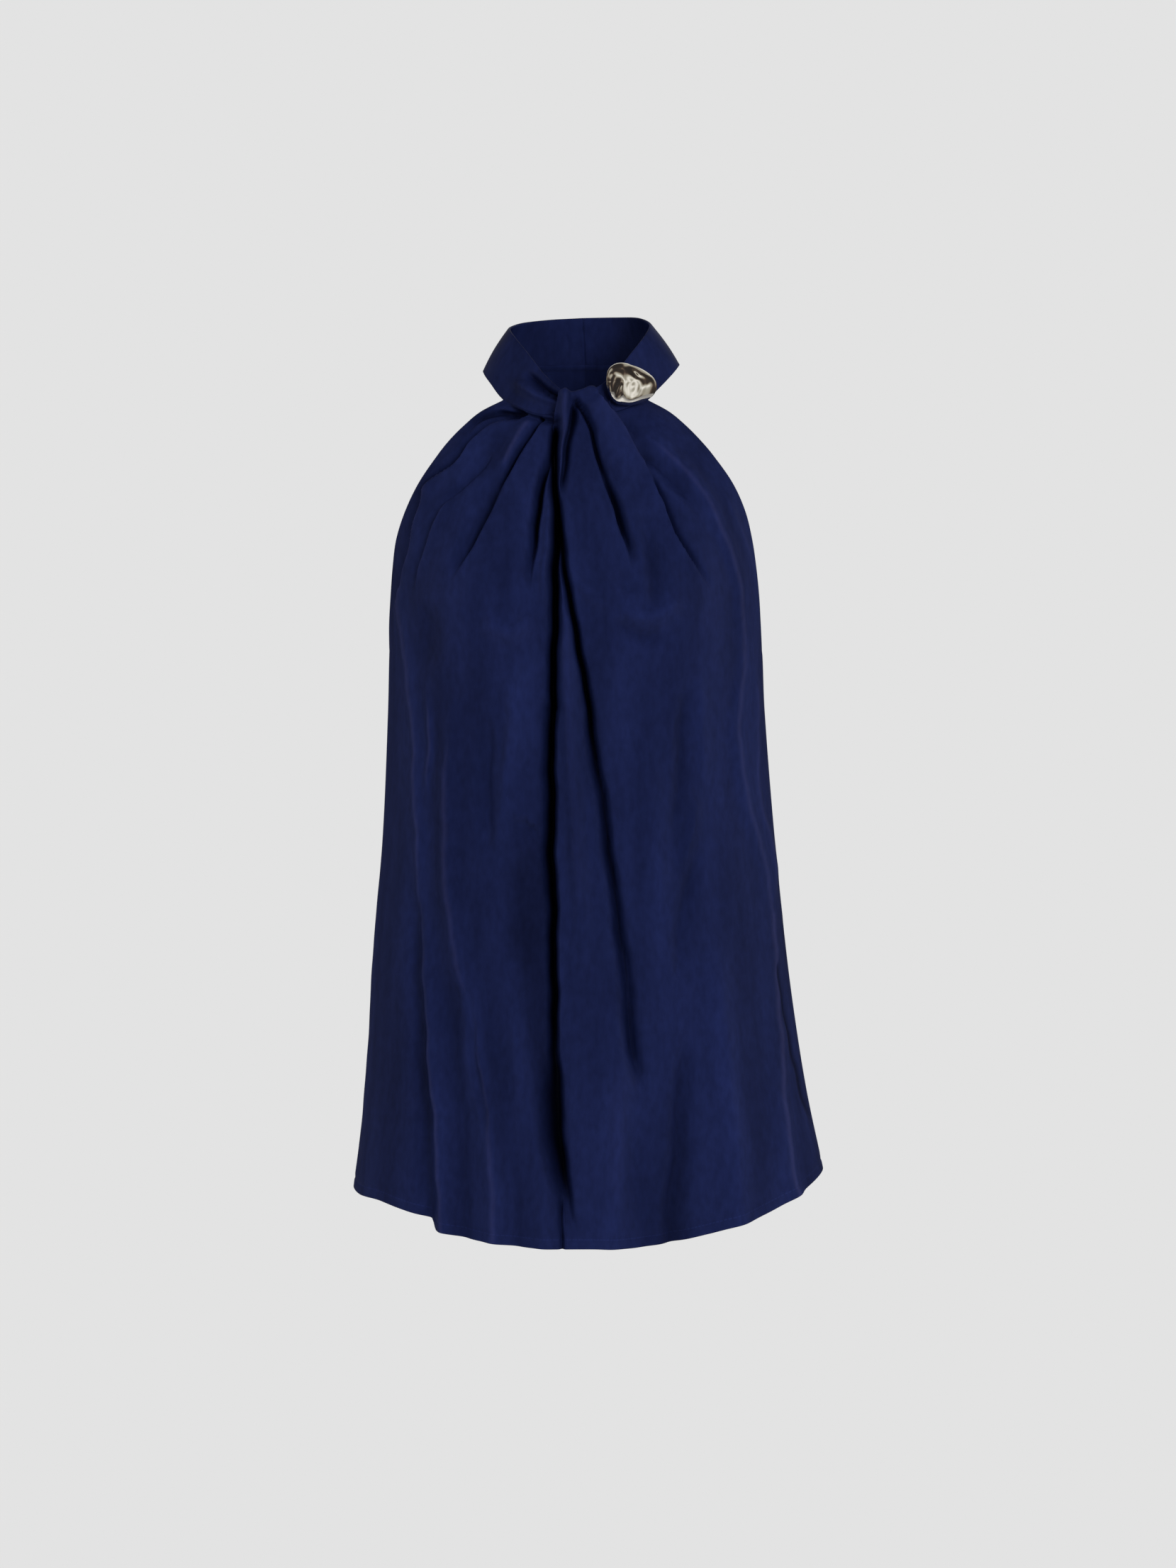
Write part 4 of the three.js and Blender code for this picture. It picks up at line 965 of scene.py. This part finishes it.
class Finishes:
    """The materials, each made once."""

    def __init__(self) -> None:
        """Build the shared node groups."""
        self.woven = woven_group()
        self.stitches = stitch_group()

    def cloth(self, finish: ClothFinish) -> Material:
        """Build the cloth material.

        Args:
            finish: Its colours and gloss.

        Returns:
            The material.
        """
        material, shader = new_material(finish.name)
        place = shader.node("ShaderNodeTexCoord").outputs["Object"]
        woven = shader.node("ShaderNodeGroup", node_tree=self.woven)
        shader.tree.links.new(place, woven.inputs["Vector"])
        # Painted light and shade, kept on the mesh by the folds, creases and collar, scales the dyed colour
        light = shader.attribute("light")
        stitches = shader.node("ShaderNodeGroup", node_tree=self.stitches)
        shader.tree.links.new(shader.attribute("hem"), stitches.inputs["Hem"])
        shader.tree.links.new(shader.attribute("along"), stitches.inputs["Along"])
        thread = shader.spread(stitches.outputs["Mask"], (0.0, 1.0), (1.0, finish.thread))
        tone = shader.math("MULTIPLY", woven.outputs["Shade"], shader.math("MULTIPLY", light, thread))
        dyed = shader.vector_math("SCALE", {"0": finish.colour, "Scale": tone})
        # Pale painted highlight tint on the brightest painted crests
        highlight_share = shader.spread(light, finish.highlight_from, (0.0, 1.0))
        pale = shader.vector_math("SCALE", {"0": finish.highlight_tint, "Scale": highlight_share})
        weave = {"Strength": 0.12, "Distance": 0.0002, "Height": woven.outputs["Height"]}
        shader.surface(
            {
                "Base Color": shader.vector_math("ADD", {"0": dyed, "1": pale}),
                "Roughness": finish.roughness,
                "Specular IOR Level": finish.gloss,
                "Normal": shader.node("ShaderNodeBump", weave).outputs[0],
            }
        )
        return material

    def metal(self, finish: MetalFinish) -> Material:
        """Build the metal material.

        Args:
            finish: Its colour and gloss.

        Returns:
            The material.
        """
        material, shader = new_material(finish.name)
        place = shader.node("ShaderNodeTexCoord").outputs["Object"]
        dents = shader.node("ShaderNodeTexNoise", {"Vector": place, "Scale": 90.0, "Detail": 1.0}).outputs[0]
        bump = shader.node("ShaderNodeBump", {"Strength": 0.05, "Distance": 0.001, "Height": dents})
        shader.surface(
            {
                "Base Color": (*finish.colour, 1.0),
                "Metallic": 1.0,
                "Roughness": finish.roughness,
                "Normal": bump.outputs[0],
            }
        )
        return material


def finish_object(name: str, bm: Mesh, material: Material) -> Piece:
    """Turn a bmesh into a smooth-shaded object of the scene.

    Args:
        name: The object's name.
        bm: Its mesh, which is freed.
        material: Its material.

    Returns:
        The object.
    """
    mesh = bpy.data.meshes.new(name)
    for face in bm.faces:
        face.smooth = True
    bm.to_mesh(mesh)
    bm.free()
    mesh.materials.append(material)
    piece = bpy.data.objects.new(name, mesh)
    bpy.context.scene.collection.objects.link(piece)
    return piece


def dress(piece: Piece, node: str) -> Piece:
    """Let a piece ride on the body in the place of a node."""
    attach(piece, "root")
    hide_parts(node)
    return piece


def shape_grid(columns: int, rows: int, place: Callable[[Array, Array], Placed]) -> Mesh:
    """Make a grid and move its vertices onto a form.

    Args:
        columns: Faces across.
        rows: Faces down.
        place: Gives the points, in mm, and their attributes, for shares across and row numbers.

    Returns:
        The shaped grid with its attributes.
    """
    bm = bmesh.new()
    bmesh.ops.create_grid(bm, x_segments=columns, y_segments=rows, size=0.5, calc_uvs=False)
    flat = np.array([vertex.co[:] for vertex in bm.verts])
    u = flat[:, 0] + 0.5
    j = np.rint((0.5 - flat[:, 1]) * rows)
    points, attributes = place(u, j)
    for vertex, point in zip(bm.verts, points * MM):
        vertex.co = point
    for name, values in attributes.items():
        layer = bm.verts.layers.float.new(name)
        for vertex, value in zip(bm.verts, values):
            vertex[layer] = value
    return bm


@dataclass(frozen=True)
class Rows:
    """Rows of a body panel: a tucked or curled top, an even run, and closer ones in the hem."""

    tuck: int = 6
    body: int = 216
    hem: int = 12
    hem_share: float = 0.0115
    crowding: float = 1.12

    @property
    def count(self) -> int:
        """Faces down the panel."""
        return self.tuck + self.body + self.hem

    def shares(self, j: Array) -> tuple[Array, Array]:
        """Share down the panel for row numbers.

        Args:
            j: Row numbers.

        Returns:
            Share from neck to hem, and how far each row is into the turned-in top, from 0 to 1.
        """
        into = np.clip((self.tuck - j) / self.tuck, 0, 1)
        body = np.clip((j - self.tuck) / self.body, 0, 1) ** self.crowding * (1 - self.hem_share)
        hem = np.clip((j - self.tuck - self.body) / self.hem, 0, 1) * self.hem_share
        return body + hem, into


@dataclass(frozen=True)
class Panel:
    """A body panel of cloth: its mesh, its thickness, its turned-in top and its stitched hem, in mm."""

    half: Half
    columns: int
    rows: Rows
    cloth: float = 1.2
    tuck_in: float = 2.8
    tuck_early: float = 1.5
    tuck_up: float = 5.0
    curl: float = 3.0
    curl_turn: float = 2.6
    length: float = 640.0
    girth_radius: float = 190.0
    stitch_line: float = HEM_DEPTH
    stitch_depth: float = 0.5
    stitch_width: float = 1.1

    KIND = "panel"

    def edge_in(self, points: Array, into: Array, curl: Array) -> Array:
        """Turn the top rows in behind the collar, or curl them over where the edge is free.

        Args:
            points: Points of the form.
            into: How far each point is into the turned-in top.
            curl: 1 where the edge is free, 0 where it is sewn to the collar.

        Returns:
            The moved points.
        """
        angle = into * self.curl_turn
        inwards = lerp(self.tuck_in * smooth(into * self.tuck_early), self.curl * (1 - np.cos(angle)), curl)
        upwards = lerp(self.tuck_up * into, self.curl * np.sin(angle), curl)
        return points + np.concatenate([-unit(points[:, :2]) * inwards[:, None], upwards[:, None]], axis=-1)

    def hemmed(self, points: Array, v: Array) -> dict[str, Array]:
        """Press the hem's stitch line in.

        Args:
            points: Points of the panel, which are moved.
            v: Share down the panel of each point.

        Returns:
            Attributes for the stitches: distance below the line, with an offset, and way along it, in mm.
        """
        below = (v - 1) * self.length + self.stitch_line
        pressed = self.stitch_depth * bell(below / self.stitch_width)
        points[:, :2] -= unit(points[:, :2]) * pressed[:, None]
        along = self.girth_radius * np.arctan2(points[:, 0], -points[:, 1])
        return {"hem": below + HEM_OFFSET, "along": along}

    def place(self, u: Array, j: Array) -> Placed:
        """Place the panel.

        Args:
            u: Shares across the picture, from its left.
            j: Row numbers.

        Returns:
            Points in mm, and their attributes.
        """
        raise NotImplementedError

    def build(self, finish: Material) -> Piece:
        """Make the panel and dress it.

        Args:
            finish: The cloth.

        Returns:
            The piece.
        """
        name = f"{self.KIND}_{self.half.value}"
        piece = finish_object(f"cloth_{name}", shape_grid(self.columns, self.rows.count, self.place), finish)
        modifier = piece.modifiers.new("cloth", "SOLIDIFY")
        modifier.thickness = self.cloth * MM
        modifier.offset = -1
        modifier.use_even_offset = False
        modifier.use_rim = True
        return dress(piece, name)


@dataclass(frozen=True)
class Front(Panel):
    """One half of the front, with a free top edge at the throat on the right half."""

    free_until: float = 0.5
    free_fade: float = 0.06
    free_drop: float = 0.03

    KIND = "front"

    def place(self, u: Array, j: Array) -> Placed:
        """Place the panel, as Panel.place says."""
        half = self.half
        u = u if half is Half.RIGHT else 1 - u
        v, into = self.rows.shares(j)
        across = column_share(half, u, v) * seam_share(half, v)
        points, light = front_form(half, across, v)
        curl = np.zeros_like(u)
        if half is Half.RIGHT:
            curl = 1 - smooth((across - self.free_until) / self.free_fade)
            points[:, 2] -= self.curl * curl * bell(v / self.free_drop)
        points = self.edge_in(points, into, curl)
        points[:, 0] += np.where(u == 0, 0.5 * SEAM * (-1 if half is Half.LEFT else 1), 0)
        return points, {"light": light} | self.hemmed(points, v)


@dataclass(frozen=True)
class Back(Panel):
    """One half of the back, with a hair's gap to the front along the side seam."""

    seam_gap: float = 0.0004

    KIND = "back"

    def place(self, u: Array, j: Array) -> Placed:
        """Place the panel, as Panel.place says."""
        u = u if self.half is Half.LEFT else 1 - u
        v, into = self.rows.shares(j)
        across = u * (2 - seam_share(self.half, v) - self.seam_gap)
        points = self.edge_in(back_form(self.half, across, v), into, np.zeros_like(u))
        return points, {"light": np.ones_like(u)} | self.hemmed(points, v)


@dataclass(frozen=True)
class Collar:
    """One collar strip, folded double from the centre back round to the throat.

    Sizes are in mm. The pairs are places on x or y between which folds and shades come in.
    """

    half: Half
    columns: int = 200
    face_rows: int = 30
    edge_rows: int = 6
    height: float = 42.0
    band: float = 2.0
    belly: float = 1.4
    axis: float = 1.0
    oval: float = 1.1
    flare: float = 12.0
    front_folds: Pair = (-20.0, -40.0)
    back_folds: Pair = (30.0, 40.0)
    dent_foot: float = 0.9
    # Painted shade inside the neck on the right and at the throat
    inner_shade: float = 0.4
    throat_shade: float = 0.14
    behind: Pair = (5.0, 30.0)
    inner_side: Pair = (5.0, 55.0)
    throat_side: Pair = (10.0, 0.0)
    creases_end: Pair = (-45.0, -35.0)
    step: float = 0.004

    def middle(self, along: Array, down: Array) -> Array:
        """Outer face of the strip.

        Args:
            along: Share from the centre back to the throat.
            down: Share from the upper to the lower edge.

        Returns:
            Points in mm.
        """
        table = COLLAR[self.half]
        points = lerp(table.points(along, "t"), table.points(along, "b"), down[:, None])
        x, y = points[:, 0], points[:, 1]
        out = unit(np.stack([x - self.axis, y * self.oval, np.full_like(down, self.flare)], axis=-1))
        front = ramp(y, *self.front_folds) * np.clip(4 * down * (1 - down), 0, 1)
        back = ramp(y, *self.back_folds) * smooth(self.dent_foot - down)
        lift = self.belly * np.sin(math.pi * np.clip(down, 0, 1))
        lift += relief(COLLAR_FOLDS, points)[0] * front + relief(COLLAR_BACK_FOLDS, points)[0] * back
        return points + out * lift[:, None]

    def facing(self, along: Array, down: Array) -> Array:
        """Directions that face out of the strip, for the same shares."""
        before, after = np.maximum(along - self.step, 0), np.minimum(along + self.step, 1)
        tangent = self.middle(after, down) - self.middle(before, down)
        fall = self.middle(along, down + self.step) - self.middle(along, down - self.step)
        normal = unit(np.cross(tangent, fall))
        away = np.sum(normal * self.middle(along, down), axis=-1)
        return normal * np.where(away < 0, -1.0, 1.0)[:, None]

    def shade(self, points: Array) -> Array:
        """How light the strip is painted: painted shade inside the neck and at the throat, and the painted
        light and shade of the creases beside it.
        """
        x, y = points[:, 0], points[:, 1]
        behind = ramp(y, *self.behind)
        shaded = self.inner_shade * ramp(x, *self.inner_side) * behind
        shaded += self.throat_shade * ramp(x, *self.throat_side) * (1 - behind)
        creased = relief(COLLAR_FOLDS, points)[1] if self.half is Half.LEFT else np.ones_like(x)
        return (1 - shaded) * lerp(creased, 1, ramp(y, *self.creases_end))

    def place(self, u: Array, j: Array) -> Placed:
        """Place the closed strip.

        Args:
            u: Shares across the picture, from its left.
            j: Row numbers, down the outer face and up the inner one.

        Returns:
            Points in mm, and how light each is.
        """
        along = u if self.half is Half.LEFT else 1 - u
        face, edge = self.face_rows, self.edge_rows
        cap = 0.5 * self.band / self.height
        first = np.clip(j / face, 0, 1)
        lower = np.clip((j - face) / edge, 0, 1) * math.pi
        second = np.clip((j - face - edge) / face, 0, 1)
        upper = np.clip((j - 2 * face - edge) / edge, 0, 1) * math.pi
        down = lerp(cap, 1 - cap, first) + lerp(0, 2 * cap - 1, second)
        down += cap * (np.sin(lower) - np.sin(upper))
        off = 0.5 * self.band * (np.cos(lower) * np.cos(upper) - 1)
        points = self.middle(along, down) + self.facing(along, down) * off[:, None]
        return points, {"light": self.shade(points)}

    def build(self, finish: Material) -> Piece:
        """Make the strip and dress it.

        Args:
            finish: The cloth.

        Returns:
            The piece.
        """
        name = f"collar_{self.half.value}"
        bm = shape_grid(self.columns, 2 * (self.face_rows + self.edge_rows), self.place)
        bmesh.ops.remove_doubles(bm, verts=bm.verts, dist=WELD)
        rims = [edge for edge in bm.edges if edge.is_boundary]
        bmesh.ops.holes_fill(bm, edges=rims)
        bmesh.ops.recalc_face_normals(bm, faces=bm.faces)
        return dress(finish_object(f"cloth_{name}", bm, finish), name)


@dataclass(frozen=True)
class Knob:
    """Metal ornament, one cast nugget sewn on at the end of the right collar strip.

    size and place are in mm, and back, flat and lumpy are in shares of half the depth: where the flattened
    back starts, how much of its depth is left, and between which depths the lumps fade in.
    """

    size: Triple = (39.6, 19.0, 31.9)
    place: Triple = (41.8, -57.4, -1.8)
    back: float = 0.55
    flat: float = 0.15
    lumpy: Pair = (0.3, -0.3)
    swing: float = 0.5
    lean: float = 0.22
    detail: int = 7

    def build(self, finish: Material) -> Piece:
        """Make the nugget and dress it.

        Args:
            finish: The metal.

        Returns:
            The piece.
        """
        bm = bmesh.new()
        bmesh.ops.create_icosphere(bm, subdivisions=self.detail, radius=1.0)
        x, y, z = unit(np.array([vertex.co[:] for vertex in bm.verts])).T
        lumps = sum(lump.on(x, z) for lump in LUMPS) * ramp(y, *self.lumpy)
        outline = NUGGET_OUTLINE.column("share", np.degrees(np.arctan2(z, x)))
        across = x * outline * self.size[0] / 2
        up = z * outline * self.size[2] / 2
        deep = np.minimum(y, self.back + self.flat * (y - self.back)) * self.size[1] / 2
        ball = np.stack([across, deep + self.swing * across + self.lean * up - lumps, up], axis=-1)
        for vertex, point in zip(bm.verts, (ball + self.place) * MM):
            vertex.co = point
        return dress(finish_object("nugget", bm, finish), "knob")


@dataclass(frozen=True)
class Softbox:
    """A soft light: where it is, its size and its power."""

    name: str
    place: Triple
    size: float
    power: float


@dataclass(frozen=True)
class Studio:
    """Pale floor and backdrop, soft lights and the photo's camera, in metres.

    room is what the metal mirrors: levels of a soft noise, each with its colour.
    """

    pale: float = 0.768
    glow: float = 0.22
    floor_size: float = 7.0
    floor_height: float = -1.9
    backdrop_size: float = 9.0
    backdrop_at: float = 4.6
    focal: float = 87.2
    sensor: float = 36.0
    far: float = 50.0
    aim: Triple = (0.0, 0.0, -0.3)
    lights: tuple[Softbox, ...] = (
        Softbox("key", (1.4, -2.9, 0.6), 1.5, 86.0),
        Softbox("fill", (-2.1, -2.4, 0.3), 1.8, 36.0),
        Softbox("side_right", (2.3, 0.1, 0.2), 1.6, 16.0),
        Softbox("side_left", (-2.3, 0.1, 0.2), 1.6, 12.0),
    )
    room_scale: float = 1.7
    room: tuple[tuple[float, Triple], ...] = (
        (0.3, (0.03, 0.026, 0.026)),
        (0.44, (0.05, 0.04, 0.036)),
        (0.49, (0.14, 0.1, 0.08)),
        (0.55, (0.34, 0.32, 0.27)),
        (0.66, (0.46, 0.45, 0.4)),
        (0.8, (0.95, 0.95, 0.93)),
    )

    def plain(self, name: str, glow: float) -> Material:
        """Plain pale finish, lit by itself where glow is more than 0."""
        material, shader = new_material(name)
        grey = (self.pale, self.pale, self.pale, 1.0)
        shader.surface(
            {
                "Base Color": (0.0, 0.0, 0.0, 1.0) if glow else grey,
                "Roughness": 1.0,
                "Specular IOR Level": 0.0,
                "Emission Color": grey,
                "Emission Strength": glow,
            }
        )
        return material

    def place_stage(self) -> None:
        """Make the floor and the backdrop."""
        floor = bmesh.new()
        bmesh.ops.create_grid(floor, x_segments=1, y_segments=1, size=self.floor_size)
        bmesh.ops.translate(floor, verts=floor.verts, vec=(0, 0, self.floor_height))
        wall = bmesh.new()
        bmesh.ops.create_grid(wall, x_segments=1, y_segments=1, size=self.backdrop_size)
        bmesh.ops.rotate(wall, verts=wall.verts, matrix=Matrix.Rotation(math.radians(90), 3, "X"))
        bmesh.ops.translate(wall, verts=wall.verts, vec=(0, self.backdrop_at, 0))
        ground = finish_object("floor", floor, self.plain("pale_floor", 0.0))
        backdrop = finish_object("backdrop", wall, self.plain("pale_backdrop", 1.0))
        backdrop.visible_glossy = False

    def place_lights(self) -> None:
        """Hang the soft lights, which the metal doesn't mirror."""
        for box in self.lights:
            lamp = bpy.data.lights.new(box.name, "AREA")
            lamp.shape, lamp.size, lamp.energy = "DISK", box.size, box.power
            holder = bpy.data.objects.new(box.name, lamp)
            holder.location = box.place
            holder.visible_glossy = False
            holder.rotation_euler = (Vector(self.aim) - Vector(box.place)).to_track_quat("-Z", "Y").to_euler()
            bpy.context.scene.collection.objects.link(holder)

    def make_world(self) -> bpy.types.World:
        """Make the pale world, in which the metal mirrors a soft room."""
        world = bpy.data.worlds.new("studio")
        world.use_nodes = True
        shader = Shader(world.node_tree)
        path = shader.node("ShaderNodeLightPath")
        plain = shader.spread(path.outputs["Is Camera Ray"], (0.0, 1.0), (self.glow, self.pale))
        place = shader.node("ShaderNodeTexCoord").outputs["Generated"]
        room = shader.node("ShaderNodeTexNoise", {"Vector": place, "Scale": self.room_scale, "Detail": 0.0})
        ramped = shader.node("ShaderNodeValToRGB", {"Fac": room.outputs[0]})
        levels = ramped.color_ramp.elements
        levels.remove(levels[0])
        for at, colour in self.room:
            levels.new(at).color = (*colour, 1.0)
        levels.remove(levels[-1])
        mixed = shader.node(
            "ShaderNodeMix",
            {"0": path.outputs["Is Glossy Ray"], "6": plain, "7": ramped.outputs[0]},
            data_type="RGBA",
        )
        sky = shader.node("ShaderNodeBackground", {"Color": mixed.outputs[2], "Strength": 1.0})
        shader.node("ShaderNodeOutputWorld", {"Surface": sky.outputs[0]})
        return world

    def make_camera(self) -> Piece:
        """Set the photo's camera up."""
        lens = bpy.data.cameras.new("camera")
        lens.lens, lens.sensor_width, lens.clip_end = self.focal, self.sensor, self.far
        camera = bpy.data.objects.new("camera", lens)
        camera.location = (PHOTO.x * MM, -PHOTO.distance * MM, PHOTO.z * MM)
        camera.rotation_euler = (math.radians(90), 0, 0)
        bpy.context.scene.collection.objects.link(camera)
        return camera

    def build(self) -> None:
        """Make the floor, the backdrop, the lights, the world and the camera."""
        self.place_stage()
        self.place_lights()
        scene = bpy.context.scene
        scene.world = self.make_world()
        scene.view_settings.view_transform = "Standard"
        scene.camera = self.make_camera()


@dataclass(frozen=True)
class HalterTop:
    """The whole garment."""

    front_columns: int = 188
    front: Rows = Rows()
    back_columns: int = 84
    back: Rows = Rows(tuck=4, body=124, hem=8)
    navy: Triple = (0.0064, 0.01, 0.043)
    silver: Triple = (0.8, 0.76, 0.69)

    def build(self, finishes: Finishes) -> None:
        """Args:
            finishes: The materials.
        """
        body = finishes.cloth(ClothFinish("navy_cloth", self.navy))
        band = finishes.cloth(ClothFinish("navy_band", self.navy, roughness=0.5))
        metal = finishes.metal(MetalFinish("polished_metal", self.silver))
        collars = [Collar(half).build(band) for half in Half]
        LOG.info("collar strips done")
        fronts = [Front(half, self.front_columns, self.front).build(body) for half in Half]
        LOG.info("fronts done")
        backs = [Back(half, self.back_columns, self.back).build(body) for half in Half]
        LOG.info("backs done")
        Knob().build(metal)


def main() -> None:
    """Load the frame, build the garment and the studio."""
    logging.basicConfig(level=logging.INFO, format="%(name)s %(message)s")
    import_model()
    HalterTop().build(Finishes())
    LOG.info("garment built")
    Studio().build()
    LOG.info("studio built")


if __name__ == "__main__":
    main()
